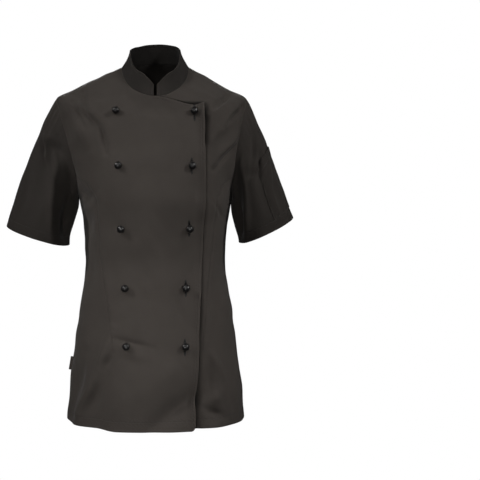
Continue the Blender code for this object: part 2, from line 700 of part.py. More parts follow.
def studs(collection, cutters, plastic):
    mesh = stud_mesh()
    mesh.materials.append(plastic)
    for letter, side in (("r", -1), ("l", 1)):
        for number, (z, spread) in enumerate(zip(STUD_LEVELS_Z, STUD_HALF_SPREAD), 1):
            x = side * spread
            level = level_at(z, x)
            angle = angle_at(x, level)
            point, out = form(angle, level), normals(form, angle, level)
            piece = bpy.data.objects.new(f"stud_{letter}{number}", mesh)
            collection.objects.link(piece)
            piece.matrix_world = placed(point, unit(np.cross([0, 1.0, 0], out)), out)
            screw = piece.modifiers.new("turned", "SCREW")
            screw.steps = screw.render_steps = STUD_SIDES
            screw.use_merge_vertices = True
            screw.merge_threshold = SCREW_MERGE
            bpy.ops.mesh.primitive_cylinder_add(
                vertices=STUD_SIDES, radius=STUD_HOLE * MM, depth=STUD_HOLE_LENGTH * MM
            )
            cutter = bpy.context.object
            cutter.name = f"hole_{letter}{number}"
            cutter.matrix_world = piece.matrix_world
            cutter.hide_render = True
            cutter.display_type = "WIRE"
            for owner in list(cutter.users_collection):
                owner.objects.unlink(cutter)
            cutters.objects.link(cutter)


def main():
    for old in list(bpy.data.objects):
        bpy.data.objects.remove(old)
    jacket = bpy.data.collections.new("chef_jacket")
    cutters = bpy.data.collections.new("cutters")
    for collection in (jacket, cutters):
        bpy.context.scene.collection.children.link(collection)
    cloth = look("twill", (0.045, 0.041, 0.038), 0.85)
    plastic = look("stud_plastic", (0.006, 0.006, 0.006), 0.15, 0.5)

    body = Body()
    walls = {sleeve.name: build_sleeve(sleeve, body, jacket, cloth) for sleeve in SLEEVES}
    build_collar(body, jacket, cloth)
    for name, points, through, cells in body.panels():
        new_object(name, wall_between(name, points, points - WALL * through, cells), cloth, jacket)
    pen_pocket(jacket, cloth, *walls["left_sleeve"])
    side_label(jacket, cloth)
    studs(jacket, cutters, plastic)
    for name in ("right_front", "left_front"):
        holes = bpy.data.objects[name].modifiers.new("stud holes", "BOOLEAN")
        holes.operand_type = "COLLECTION"
        holes.collection = cutters


if __name__ == "__main__":
    main()
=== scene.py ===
# %% [markdown]
# # A chef jacket in its worn form
#
# This jacket keeps the form of a body, but nobody is in it. Its cloth is one surface cut into panels. So the
# lesson works that surface out once, as a function of an angle round the body and a level up it, and then
# reads every panel, seam, stitch and stud from the function. Lengths are in millimetres until a mesh is
# made. +X is the wearer's left, -Y the front and +Z up, with the origin in the middle of the neck's base.
#
# The frame holds plain solids of the same pieces. It is loaded first, because each cloth piece replaces one.
# %% Load the frame
import json
import math
from collections import namedtuple

import bmesh
import bpy
import numpy as np
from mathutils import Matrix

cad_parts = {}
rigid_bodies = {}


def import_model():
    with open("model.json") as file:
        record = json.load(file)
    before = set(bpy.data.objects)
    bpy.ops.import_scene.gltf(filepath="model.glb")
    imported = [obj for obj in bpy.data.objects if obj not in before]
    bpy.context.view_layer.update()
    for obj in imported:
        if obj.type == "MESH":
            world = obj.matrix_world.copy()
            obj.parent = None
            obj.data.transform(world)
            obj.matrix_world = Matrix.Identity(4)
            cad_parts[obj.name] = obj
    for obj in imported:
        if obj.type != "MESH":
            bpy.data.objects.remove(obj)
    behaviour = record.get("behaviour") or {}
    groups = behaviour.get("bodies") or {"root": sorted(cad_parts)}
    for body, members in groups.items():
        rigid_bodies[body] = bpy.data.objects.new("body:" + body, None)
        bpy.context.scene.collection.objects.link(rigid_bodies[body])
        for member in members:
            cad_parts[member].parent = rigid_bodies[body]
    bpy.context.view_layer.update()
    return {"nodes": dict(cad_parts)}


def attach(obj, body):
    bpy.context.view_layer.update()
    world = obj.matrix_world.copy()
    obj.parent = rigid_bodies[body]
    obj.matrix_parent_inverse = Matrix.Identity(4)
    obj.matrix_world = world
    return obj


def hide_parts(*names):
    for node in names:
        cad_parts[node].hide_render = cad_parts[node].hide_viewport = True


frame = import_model()
print("nodes:", len(frame["nodes"]))

# %% [markdown]
# ## Curves between measured values
#
# A few measured rows describe the body. Between them the sizes follow Hermite curves, which pass through
# each row with a slope. Straight lines would leave kinks, and a fitted polynomial would swing.
# %% Small helpers
MM = 0.001


def smooth(t):
    """0 up to t = 0, 1 from t = 1, and 3t^2 - 2t^3 between them."""
    t = np.clip(t, 0, 1)
    return t * t * (3 - 2 * t)


def mix(a, b, t):
    return a + (b - a) * t


def unit(vectors):
    return vectors / np.maximum(np.linalg.norm(vectors, axis=-1, keepdims=True), 1e-12)


def hermite(start, start_pull, end, end_pull, t):
    """The cubic from start to end that leaves along start_pull and arrives along end_pull."""
    return (
        (2 * t**3 - 3 * t**2 + 1) * start
        + (t**3 - 2 * t**2 + t) * start_pull
        + (3 * t**2 - 2 * t**3) * end
        + (t**3 - t**2) * end_pull
    )


def bell_curve(distance, width):
    """exp(-(distance / width)^2): 1 at a distance of 0, and almost 0 from twice the width."""
    return np.exp(-((distance / width) ** 2))


def lengths_along(points, axis=0):
    """The length along each line of points, from 0 at its start."""
    steps = np.linalg.norm(np.diff(points, axis=axis), axis=-1)
    return np.insert(np.cumsum(steps, axis=axis), 0, 0, axis=axis)


def lengths_round(ring):
    """The length round a closed ring, at the end of each of its steps."""
    return np.cumsum(np.linalg.norm(np.roll(ring, -1, axis=0) - ring, axis=-1))


print("a smooth step at 1/4, 1/2 and 3/4:", smooth(np.array([0.25, 0.5, 0.75])))

# %% [markdown]
# ## The body's form
#
# Each row gives half the width, the reach to the front and back, and the height at the side, front and
# back, because a level line of a jacket sags towards the front of the shoulders. A ring is a superellipse:
# a power below 1 on the sine and cosine makes it boxier than an ellipse, as cloth over a chest is. A
# sculpted body would be truer, but on a function each panel is simply a range of angles and levels.
# %% Sizes of the body, from the hem up
Section = namedtuple("Section", "place half_width front back side_z front_z back_z lean shift drop")
SECTIONS = (
    Section("hem", 172, 131, 128, -684, -688, -687, 0, 0, 1.0),
    Section("hip", 166, 128, 126, -600, -600, -600, 0, 0, 1.0),
    Section("high hip", 156, 122, 115, -530, -530, -530, 0, 0, 1.0),
    Section("belly", 146, 116, 97, -455, -455, -455, 0, 0, 1.0),
    Section("waist", 135.5, 114, 84, -378, -378, -378, 0, 0, 1.0),
    Section("ribs", 139, 126, 92, -310, -310, -310, 0, 0, 1.0),
    Section("underarm", 148.5, 136, 108, -250, -250, -250, 0, 0, 1.0),
    Section("chest", 172, 124, 113, -152, -172, -152, -4, -4, 1.2),
    Section("shoulder tip", 185, 96, 98, -62, -104, -66, -7, -7, 1.55),
    Section("lap top", 149, 90, 90, -43, -88, -44, -5, -7, 1.4),
    Section("mid shoulder", 106, 85, 76, -20, -73, -15, -2, -3, 1.2),
    Section("neck", 65, 80, 60, -1, -58, 9, 0, 0, 1.0),
)
WAIST, UNDERARM, CHEST, SHOULDER_TIP, LAP_LEVEL, NECK = 4, 6, 7, 8, 9, 11  # places in SECTIONS
SIZES = np.array([section[1:] for section in SECTIONS], float)
print("from neck to hem in mm:", SECTIONS[NECK].side_z - SECTIONS[0].side_z)

# %% Sizes at every level
MOST_SLOPE = 1.5  # times the smaller step beside a row, so that no size overshoots where it turns


def size_slopes():
    """Central differences, held to MOST_SLOPE times the smaller neighbouring step where both go one way."""
    slopes, steps = np.gradient(SIZES, axis=0), np.diff(SIZES, axis=0)
    same_way = steps[:-1] * steps[1:] > 0
    most = np.where(same_way, MOST_SLOPE * np.minimum(np.abs(steps[:-1]), np.abs(steps[1:])), np.inf)
    slopes[1:-1] = np.clip(slopes[1:-1], -most, most)
    return slopes


SIZE_SLOPES = size_slopes()


def sizes_at(level):
    """All sizes of a Section at any level, between its rows by Hermite curves."""
    level = np.asarray(level, float)
    row = np.clip(np.floor(level), 0, NECK - 1).astype(int)
    t = (level - row)[..., None]
    found = hermite(SIZES[row], SIZE_SLOPES[row], SIZES[row + 1], SIZE_SLOPES[row + 1], t)
    return np.moveaxis(found, -1, 0)


print("half width between waist and ribs:", round(sizes_at(WAIST + 0.5)[0], 1))

# %% The plain form
FRONT_ROUNDNESS, BACK_ROUNDNESS = 0.88, 0.94  # powers of the superellipse
ANGLE_STEP, LEVEL_STEP = 1.0, 0.02  # for the directions out of the form


def roundness_at(level, plain):
    """The plain power up to the chest. It becomes 1, a true ellipse, at the top of the lap."""
    return mix(plain, 1, smooth((level - CHEST) / (LAP_LEVEL - CHEST)))


def plain_form(angle, level):
    """x is half_width times sine^power, y is the reach times cosine^power, z goes from side to middle."""
    half_width, front, back, side_z, front_z, back_z, lean, shift, drop = sizes_at(level)
    sine, cosine = np.sin(np.radians(angle)), np.cos(np.radians(angle))
    ahead, reach = cosine >= 0, np.abs(cosine)
    power = roundness_at(level, np.where(ahead, FRONT_ROUNDNESS, BACK_ROUNDNESS))
    x = half_width * np.sign(sine) * np.abs(sine) ** power + shift * sine**2
    y = lean + np.where(ahead, -front, back) * reach**power
    z = side_z + (np.where(ahead, front_z, back_z) - side_z) * reach**drop
    return np.stack([x, y, z], axis=-1)


def normals(shape, angle, level):
    """Unit vectors out of a shape of angle and level: the cross product of its two slopes."""
    across = shape(angle + ANGLE_STEP, level) - shape(angle - ANGLE_STEP, level)
    higher, lower = np.minimum(level + LEVEL_STEP, NECK), np.maximum(level - LEVEL_STEP, 0)
    return unit(np.cross(across, shape(angle, higher) - shape(angle, lower)))


all_round = np.linspace(0, 360, 361)
waist_ring = plain_form(all_round, np.full_like(all_round, WAIST))
print("waist girth in mm:", round(lengths_along(waist_ring)[-1]))

# %% [markdown]
# ## Folds
#
# Cloth on a body has three kinds of relief. A few broad folds hang from the points that carry it: the
# shoulders, the bust and the studs. Shaping seams in the fronts and darts in the back turn the surface a
# little along a line. And all of it is faintly crumpled. A cloth simulation could drape all this, but its
# folds fall where they like. Here they are listed, as lines with a width and a depth, because each
# belongs to a place. The crumple is a sum of slow waves in random directions, from a fixed seed.
# %% Broad folds
FRONT, BACK = 1, -1
# Grooves have a depth below 0 and ridges above 0; start and end are (x, z).
Fold = namedtuple("Fold", "face start end width depth")
FOLDS = (
    # The shoulders and the bust
    Fold(FRONT, (-157, -70), (-131, -120), 5, -6.5),
    Fold(FRONT, (-138, -50), (-131, -98), 5, -7.0),
    Fold(FRONT, (-135, -90), (-100, -120), 5, -7.5),
    Fold(FRONT, (-103, -112), (-92, -168), 5.5, -6.5),
    Fold(FRONT, (-122, -86), (-86, -128), 8, 5.4),
    Fold(FRONT, (-154, -88), (-118, -164), 17, 11.0),
    Fold(FRONT, (146, -50), (104, -88), 5.5, -7.5),
    Fold(FRONT, (169, -78), (128, -118), 5.5, -8.5),
    Fold(FRONT, (158, -84), (106, -142), 8, 8.0),
    Fold(FRONT, (167, -118), (112, -184), 10, 9.0),
    Fold(FRONT, (162, -140), (110, -198), 6.5, -9.0),
    Fold(FRONT, (150, -185), (118, -246), 13, -5.0),
    Fold(FRONT, (-46, -76), (66, -100), 20, -8.0),
    Fold(FRONT, (-86, -34), (-30, -82), 13, -4.6),
    Fold(FRONT, (14, -62), (50, -126), 10, -2.0),
    Fold(FRONT, (64, -204), (70, -262), 18, -2.6),
    Fold(FRONT, (-154, -230), (-112, -264), 14, -6.0),
    Fold(FRONT, (-154, -300), (-112, -308), 28, -7.0),
    # The waist
    Fold(FRONT, (-126, -290), (-118, -500), 15, -2.6),
    Fold(FRONT, (124, -290), (116, -470), 14, -2.4),
    Fold(FRONT, (-80, -516), (-6, -533), 6, -4.2),
    Fold(FRONT, (-62, -541), (-8, -554), 9, 3.4),
    Fold(FRONT, (-82, -544), (-95, -576), 6, -4.2),
    # The lower front
    Fold(FRONT, (-80, -496), (-117, -595), 8, 5.6),
    Fold(FRONT, (-108, -580), (-148, -662), 8, 7.0),
    Fold(FRONT, (-138, -548), (-168, -666), 14, -14.0),
    Fold(FRONT, (-98, -590), (-132, -672), 11, -4.6),
    Fold(FRONT, (60, -556), (-52, -636), 34, 10.0),
    Fold(FRONT, (94, -608), (-24, -694), 17, -12.0),
    # The under front, beside the lap
    Fold(FRONT, (98, -530), (126, -592), 8, 6.0),
    Fold(FRONT, (98, -560), (105, -624), 7, -5.0),
    Fold(FRONT, (106, -612), (116, -648), 10, 6.4),
    Fold(FRONT, (94, -650), (130, -670), 8, -8.0),
    Fold(FRONT, (88, -682), (124, -688), 7, 3.6),
    # The back
    Fold(BACK, (-132, -132), (-92, -176), 13, -2.6),
    Fold(BACK, (130, -126), (94, -172), 13, -2.8),
    Fold(BACK, (-66, -352), (50, -372), 12, -3.6),
    Fold(BACK, (-44, -392), (78, -408), 11, -3.0),
    Fold(BACK, (-30, -560), (-42, -686), 18, -4.5),
    Fold(BACK, (62, -548), (76, -686), 17, -4.0),
    Fold(BACK, (-112, -590), (-124, -684), 15, 4.0),
)
print("broad folds:", len(FOLDS))

# %% Small creases
CREASES = (
    Fold(FRONT, (-106, -236), (-146, -272), 7, -1.8),
    Fold(FRONT, (98, -244), (131, -294), 5, -3.0),
    Fold(FRONT, (104, -250), (116, -280), 5, 2.2),
    Fold(FRONT, (40, -120), (58, -190), 9, -1.1),
    Fold(FRONT, (74, -206), (70, -290), 7, -1.2),
    Fold(FRONT, (96, -470), (112, -540), 8, 2.0),
    Fold(FRONT, (140, -172), (118, -226), 8, -2.0),
    Fold(FRONT, (-30, -86), (-62, -104), 8, -1.4),
    Fold(FRONT, (-30, -176), (34, -192), 16, 1.6),
    Fold(FRONT, (-120, -330), (-96, -352), 7, -1.2),
    Fold(FRONT, (112, -350), (92, -372), 7, -1.2),
    Fold(FRONT, (30, -424), (60, -500), 8, -1.2),
    Fold(BACK, (-118, -212), (-86, -236), 8, -1.6),
    Fold(BACK, (116, -206), (88, -238), 8, -1.8),
    Fold(BACK, (-84, -330), (-30, -340), 7, 1.6),
    Fold(BACK, (24, -424), (86, -440), 7, -1.4),
    Fold(BACK, (0, -24), (0, -60), 18, -1.2),
)
print("creases:", len(CREASES))

# %% Shaping seams and darts
# A shaping seam runs from the armhole over the bust and down; a back dart is sewn in the middle of a panel.
ShapingLine = namedtuple("ShapingLine", "face points")
SHAPING = (
    ShapingLine(FRONT, ((-158, -206), (-128, -226), (-110, -254), (-106, -350), (-93, -430), (-80, -540))),
    ShapingLine(FRONT, ((158, -206), (130, -226), (114, -254), (108, -350), (97, -430), (88, -540))),
    ShapingLine(BACK, ((-88, -210), (-80, -378), (-90, -545))),
    ShapingLine(BACK, ((88, -210), (80, -378), (90, -545))),
)
SEAM_TENT, SEAM_REACH = 1.7, 24  # a sewn line's low ridge and how far it reaches to each side
SEAM_GROOVE, SEAM_GROOVE_WIDTH = 0.8, 2.6
SEAM_END = 60  # a shaping line fades out over this length
print("sewn lines:", len(SHAPING))

# %% Heights of folds and sewn lines
FOLD_END = 0.12  # of a half turn: where a fold's height starts and ends on a sine


def beside_line(offset, run):
    """How far along a line each point is, from 0 to 1, and how far it is from the line."""
    along = np.clip(offset @ run / (run @ run), 0, 1)
    return along, np.linalg.norm(offset - along[..., None] * run, axis=-1)


def fold_height(flat, fold):
    """A bell curve across the fold's line, times a half sine along it that starts and ends level."""
    start, end = np.array(fold.start), np.array(fold.end)
    along, across = beside_line(flat - start, end - start)
    along = mix(FOLD_END, 1 - FOLD_END, smooth(along))
    return fold.depth * np.sin(math.pi * along) * bell_curve(across, fold.width)


def from_line(flat, line):
    """The distance from a line through several points."""
    points = np.array(line.points, float)
    runs = [beside_line(flat - start, end - start) for start, end in zip(points, points[1:])]
    return np.min([away for _, away in runs], axis=0)


def seam_height(flat, line):
    """The tent and the thin groove of a sewn line, which fade out at its last point."""
    points, across = np.array(line.points, float), from_line(flat, line)
    tent = SEAM_TENT * smooth(1 - across / SEAM_REACH)
    past_end = (flat - points[-1]) @ unit(points[-1] - points[-2])
    fade = 1 - smooth(1 + past_end / SEAM_END)
    return (tent - SEAM_GROOVE * bell_curve(across, SEAM_GROOVE_WIDTH)) * fade


print("height in the first fold's middle:", round(fold_height(np.array([-144.0, -95.0]), FOLDS[0]), 1))

# %% The crumple
CRUMPLE_COUNT, CRUMPLE_SHORTEST, CRUMPLE_LONGEST = 30, 22, 120
CRUMPLE_RISE = 0.0026  # height of a wave as a share of its length
CRUMPLE_WARP, CRUMPLE_WARP_LENGTH = 14, 53  # the places are pushed this far, by sines of this length
CRUMPLE_SEED = 5


def crumple_waves():
    """Lengths in even ratios, with a random direction and a random start for each."""
    random = np.random.default_rng(CRUMPLE_SEED)
    length = np.geomspace(CRUMPLE_SHORTEST, CRUMPLE_LONGEST, CRUMPLE_COUNT)
    way = unit(random.normal(size=(CRUMPLE_COUNT, 3)))
    return way * 2 * math.pi / length[:, None], random.uniform(0, 2 * math.pi, CRUMPLE_COUNT), length


CRUMPLE_WAYS, CRUMPLE_STARTS, CRUMPLE_LENGTHS = crumple_waves()


def crumple(points):
    """The sum of sines along random directions, at places that are first pushed about by slower sines."""
    pushed = points + CRUMPLE_WARP * np.sin(points[..., [1, 2, 0]] / CRUMPLE_WARP_LENGTH)
    return np.sin(pushed @ CRUMPLE_WAYS.T + CRUMPLE_STARTS) @ (CRUMPLE_RISE * CRUMPLE_LENGTHS)


print("the crumple round the waist in mm:", round(np.ptp(crumple(waist_ring)), 1))

# %% Where the studs press and pull
STUD_LEVELS_Z = (-91, -191.5, -308, -422, -533)
STUD_HALF_SPREAD = (74, 67.5, 62.5, 56, 54.3)  # from the centre front to each column, from the top down
STUD_CALM = 12  # the crumple dies out this near to a stud
STUD_DENT, STUD_DENT_WIDTH = 0.9, 8
PULL_REACH, PULL_WIDTH, PULL_DEPTH = 22, 4.5, -1.7  # the cloth is drawn up along each buttonhole
STUD_PLACES = [(side * x, z) for side in (-1, 1) for x, z in zip(STUD_HALF_SPREAD, STUD_LEVELS_Z)]


def stud_relief(flat):
    """Each stud presses a dent, and each buttonhole, on the wearer's left, pulls a short upright groove."""
    height = np.zeros(flat.shape[:-1])
    for x, z in STUD_PLACES:
        away = np.linalg.norm(flat - [x, z], axis=-1)
        height -= STUD_DENT * bell_curve(away, STUD_DENT_WIDTH)
        if x > 0:
            pull = Fold(FRONT, (x, z - PULL_REACH), (x, z + PULL_REACH), PULL_WIDTH, PULL_DEPTH)
            height += fold_height(flat, pull)
    return height


print("studs:", len(STUD_PLACES))

# %% The relief of the whole body
ARMHOLE_FRONT_CUT, ARMHOLE_BACK_CUT = 24, 20  # degrees that the armhole bites into the front and the back
SIDE_CALM, ARMHOLE_CALM = 18, 9  # degrees from a side seam and from an armhole in which folds die out
BUST_X, BUST_Z, BUST_WIDTH, BUST_RISE = 73, -226, 52, 5.2
Wave = namedtuple("Wave", "count depth start")  # waves round the body, millimetres and degrees
HEM_WAVES = (Wave(7, 2.4, 30), Wave(11, 2.0, -65))
HEM_WAVES_TOP, HEM_WAVES_BOTTOM = -500, -690


def armhole_share(level):
    """0 at the underarm and at the shoulder tip, and up to 1 between them: the root of a half sine."""
    t = np.clip((level - UNDERARM) / (SHOULDER_TIP - UNDERARM), 0, 1)
    return np.sqrt(np.sin(math.pi * t))


def relief(angle, level, points):
    """The height over the plain form: crumple, dents, bust, folds, sewn lines and the hem's waves."""
    from_front = np.abs((angle + 180) % 360 - 180)
    share = armhole_share(level)
    calm_width = mix(SIDE_CALM, ARMHOLE_CALM, share)
    calm = {
        FRONT: smooth((90 - ARMHOLE_FRONT_CUT * share - from_front) / calm_width),
        BACK: smooth((from_front - 90 - ARMHOLE_BACK_CUT * share) / calm_width),
    }
    flat = points[..., [0, 2]]
    height = crumple(points)
    for x, z in STUD_PLACES:
        height *= 1 - (from_front < 90) * np.exp(-(((flat - [x, z]) ** 2).sum(axis=-1)) / STUD_CALM**2)
    height += calm[FRONT] * stud_relief(flat)
    for x in (-BUST_X, BUST_X):
        away = np.linalg.norm(flat - [x, BUST_Z], axis=-1)
        height += calm[FRONT] * BUST_RISE * bell_curve(away, BUST_WIDTH)
    for fold in FOLDS + CREASES:
        height += calm[fold.face] * fold_height(flat, fold)
    for line in SHAPING:
        height += calm[line.face] * seam_height(flat, line)
    fade = smooth((HEM_WAVES_TOP - points[..., 2]) / (HEM_WAVES_TOP - HEM_WAVES_BOTTOM))
    for wave in HEM_WAVES:
        height += fade * wave.depth * np.cos(np.radians(wave.count * angle + wave.start))
    return height


def form(angle, level):
    """The plain form, moved along its outward directions by the relief."""
    points = plain_form(angle, level)
    return points + relief(angle, level, points)[..., None] * normals(plain_form, angle, level)


waist_heights = relief(all_round, np.full_like(all_round, WAIST), waist_ring)
print("relief round the waist in mm:", round(waist_heights.min(), 1), "to", round(waist_heights.max(), 1))

# %% [markdown]
# ## Grids over the form
#
# A panel is a grid of points on the form. The front's columns run from the centre front to the lap's edge
# and on to the side seam, so the edge of the lap is a column and its top is a row. The armhole is where
# the side column bites inwards. Its rows follow a cosine, close together at its top and bottom, because
# the curve turns there. Panels could also be cut out of one dense mesh, but their edges would be saws.
#
# Each grid carries, beside a point, what later steps need: which way is out, where the point lies on the
# flat cloth and, on the body, how far it is from a shaping line. The distance from an edge follows from the
# place on the flat cloth.
# %% Where the lap lies
LAP_TOP_HALF, LAP_HEM_HALF = 95, 74  # from the centre front to the lap's edge
LAP_TOP_Z, LAP_HEM_Z = -74, -690
LAP_NECK_Z = -58  # the lap's top edge starts here and falls to LAP_TOP_Z
LAP_TOP_RUN = 75
LAP_ANGLE_PASSES = 3  # the lap's angle depends on its height, which depends on its angle
LEVEL_SAMPLES = 1101  # from which a level is read back from a height
SAMPLED_LEVELS = np.linspace(0, NECK, LEVEL_SAMPLES)


def angle_at(x, level):
    """The angle in the front at which a level is as far as x from the middle."""
    share = np.clip(np.abs(x) / sizes_at(level)[0], 0, 1)
    return np.sign(x) * np.degrees(np.arcsin(share ** (1 / roundness_at(level, FRONT_ROUNDNESS))))


def level_of(z, levels, angles):
    """The level at which the plain form has this height on the line through these levels and angles."""
    return np.interp(z, plain_form(angles, levels)[:, 2], levels)


def level_at(z, x=0.0):
    """The level at which the front has this height, as far as x from the middle."""
    return level_of(z, SAMPLED_LEVELS, angle_at(np.full_like(SAMPLED_LEVELS, x), SAMPLED_LEVELS))


def lap_top_z(x):
    """The height of the lap's top edge, which falls from the neck outwards by a smooth step."""
    return mix(LAP_NECK_Z, LAP_TOP_Z, smooth(np.abs(x) / LAP_TOP_RUN))


def lap_angle(share, level):
    """The angle at a share of the lap's half width, which narrows towards the hem."""
    angle = np.zeros_like(level)
    for _ in range(LAP_ANGLE_PASSES):
        down = (LAP_TOP_Z - plain_form(angle, level)[..., 2]) / (LAP_TOP_Z - LAP_HEM_Z)
        angle = angle_at(share * mix(LAP_TOP_HALF, LAP_HEM_HALF, down), level)
    return angle


print("angle of the lap's edge at the waist:", round(lap_angle(1, np.array([float(WAIST)]))[0], 1))

# %% Columns and rows
LAP_COLUMNS, SIDE_COLUMNS, BACK_COLUMNS = 36, 54, 144
BODY_ROWS = (32, 26, 28, 29, 25, 23)  # cells in each interval of SECTIONS below the armhole
ARMHOLE_ROWS = 76
SHOULDER_ROWS = (10, 14, 12)
CENTRE = LAP_COLUMNS + SIDE_COLUMNS  # the column at the centre front
LAP_EDGE = CENTRE + LAP_COLUMNS  # the column at the lap's edge


def row_levels():
    """Even steps in each interval of SECTIONS, and 1 - cos over the armhole's two."""
    levels = [0.0]
    for start, cells in enumerate(BODY_ROWS):
        levels += [start + (k + 1) / cells for k in range(cells)]
    half_turn = math.pi / ARMHOLE_ROWS
    levels += [UNDERARM + 1 - math.cos(half_turn * (k + 1)) for k in range(ARMHOLE_ROWS)]
    for start, cells in enumerate(SHOULDER_ROWS, SHOULDER_TIP):
        levels += [start + (k + 1) / cells for k in range(cells)]
    return np.array(levels)


LEVELS = row_levels()
UNDERARM_ROW = sum(BODY_ROWS)
TIP_ROW = UNDERARM_ROW + ARMHOLE_ROWS
LAP_TOP_ROW = TIP_ROW + SHOULDER_ROWS[0]
ARMHOLE = slice(UNDERARM_ROW, TIP_ROW + 1)
print("rows:", len(LEVELS), "of which beside the armhole:", ARMHOLE_ROWS + 1)

# %% What a grid carries
POINT, OUT, SURFACE = slice(0, 3), slice(3, 6), slice(0, 6)  # the last is the point and the way out
ACROSS, ALONG, FLAT = 6, 7, slice(6, 8)  # the place on the flat cloth, along its rows and its columns
SEAM = 8  # how far a point of the body is from a shaping line


def new_grid(points, out, middle=0):
    """Points, outward directions, and the lengths along the rows, from the middle column, and the columns."""
    across, up = lengths_along(points, 1), lengths_along(points, 0)
    flat = np.stack([across - across[:, middle : middle + 1], up], axis=-1)
    return np.concatenate([points, out, flat], axis=-1)


def across_from_edge(grid, edge):
    """How far each point is along its row from the column at an edge."""
    return np.abs(grid[..., ACROSS] - grid[:, edge, ACROSS][:, None])


def grid_on_form(face, angle, level, middle):
    """A grid of the body's front or back, which also has the distances from the shaping lines."""
    grid = new_grid(form(angle, level), normals(form, angle, level), middle)
    flat = plain_form(angle, level)[..., [0, 2]]
    seam = np.min([from_line(flat, line) for line in SHAPING if line.face == face], axis=0)
    return np.concatenate([grid, seam[..., None]], axis=-1)


few_angles, few_levels = np.meshgrid([170.0, 180, 190], [WAIST, WAIST + 1.0])
small_grid = grid_on_form(BACK, few_angles, few_levels, 1)
print("six points at the back of the waist, with nine numbers each:", small_grid.shape)


# %% The front's grid
def front_half():
    """Angles and levels from the centre front to the left side seam, row by row from the hem up."""
    column = np.arange(CENTRE + 1)
    lap_share = np.minimum(column / LAP_COLUMNS, 1)
    side_share = np.clip((column - LAP_COLUMNS) / SIDE_COLUMNS, 0, 1)

    edge_x = LAP_TOP_HALF * lap_share
    edge_level = np.array([level_at(lap_top_z(x), x) for x in edge_x])
    edge_level = mix(edge_level, LAP_LEVEL, side_share)
    edge_level[0] = NECK  # so the rows above the lap's top edge all start from the neck's centre front
    edge_angle = mix(lap_angle(lap_share, edge_level), 90, side_share)

    centre_z = np.linspace(SECTIONS[0].front_z, LAP_NECK_Z, LAP_TOP_ROW + 1)
    centre_share = level_at(centre_z) / NECK
    centre_share[-1] = 1
    side_row_share = LEVELS[: LAP_TOP_ROW + 1] / LAP_LEVEL
    outward = smooth(column / CENTRE)
    level = edge_level * mix(centre_share[:, None], side_row_share[:, None], outward)
    side_angle = 90 - ARMHOLE_FRONT_CUT * armhole_share(level)
    angle = mix(lap_angle(lap_share * np.ones_like(level), level), side_angle, side_share)
    angle[-1] = edge_angle

    up = ((LEVELS[LAP_TOP_ROW + 1 :] - LAP_LEVEL) / (NECK - LAP_LEVEL))[:, None]
    fewer = np.maximum(len(up) / np.maximum(column, 1), 1)  # short columns fill up in fewer rows
    up = np.minimum(up * fewer, 1)
    upper_level = mix(edge_level, NECK, up)
    upper_angle = mix(edge_angle, 90 * column / CENTRE, up)
    return np.vstack([angle, upper_angle]), np.vstack([level, upper_level])


def front_grid():
    """The half and its mirror image, from the right side seam to the left one."""
    angle, level = front_half()
    angle, level = np.hstack([-angle[:, :0:-1], angle]), np.hstack([level[:, :0:-1], level])
    return angle, grid_on_form(FRONT, angle, level, CENTRE)


front_angle, front = front_grid()
print("front grid:", front.shape[:2])


# %% The back's grid
def back_grid():
    """From the edge at the wearer's left over the centre back to the edge at the right."""
    share = np.linspace(-1, 1, BACK_COLUMNS + 1)
    centre_z = np.linspace(SECTIONS[0].back_z, SECTIONS[-1].back_z, len(LEVELS))
    centre_level = level_of(centre_z, SAMPLED_LEVELS, np.full_like(SAMPLED_LEVELS, 180))
    level = mix(centre_level[:, None], LEVELS[:, None], smooth(np.abs(share)))
    angle = 180 + share * (90 - ARMHOLE_BACK_CUT * armhole_share(level))
    return angle, grid_on_form(BACK, angle, level, BACK_COLUMNS // 2)


back_angle, back = back_grid()
print("back grid:", back.shape[:2])

# %% [markdown]
# ## The lap stands off
#
# The wearer's right front lies one ply over the left one. Its edge stands off a little more, as a pressed
# edge does, and throws the thin shadow that shows where the jacket closes. Both come from one lift along
# the direction out of the form, which fades to nothing towards the side seam. Moving the whole front
# forwards would open that seam.
# %% Lift the outer front
CLOTH = 1.5  # cloth with its turned edges
PLY_GAP = 0.5  # between the two fronts where they overlap
LAP_FADE = 25  # above the lap's top edge the outer front comes down to the form within this height
LAP_FADE_SHARE = 0.25  # of the side columns, over which it comes down beside the lap
EDGE_STAND, EDGE_STAND_REACH, STAND_FADE = 5.0, 15, 6  # the lap's edge stands off, within these widths
LAP_HEM_DROP, LAP_HEM_DROP_REACH = 4.5, 45  # the outer front hangs lower, drawn down over this height


def lift_outer_front(grid):
    """One ply over the lap, fading beside it and above it, and more within EDGE_STAND_REACH of the edge."""
    column = np.arange(grid.shape[1]) - CENTRE
    beside = np.clip((-column - LAP_COLUMNS) / SIDE_COLUMNS, 0, 1) / LAP_FADE_SHARE
    rise = grid[..., 2] - lap_top_z(grid[..., 0])
    lift = (CLOTH + PLY_GAP) * smooth(1 - beside) * (1 - smooth(rise / LAP_FADE))
    from_edge = across_from_edge(grid, LAP_EDGE)
    lift += EDGE_STAND * (1 - smooth(from_edge / EDGE_STAND_REACH)) * smooth(1 - rise / STAND_FADE)
    lifted = grid.copy()
    lifted[..., POINT] += lift[..., None] * grid[..., OUT]
    hem = (1 - smooth(grid[..., ALONG] / LAP_HEM_DROP_REACH)) * smooth(1 - beside)
    lifted[..., 2] -= LAP_HEM_DROP * hem
    return lifted


outer_front = lift_outer_front(front)
lifts = np.linalg.norm((outer_front - front)[..., POINT], axis=-1)
print("the outer front stands off by up to", round(lifts.max(), 1), "mm")

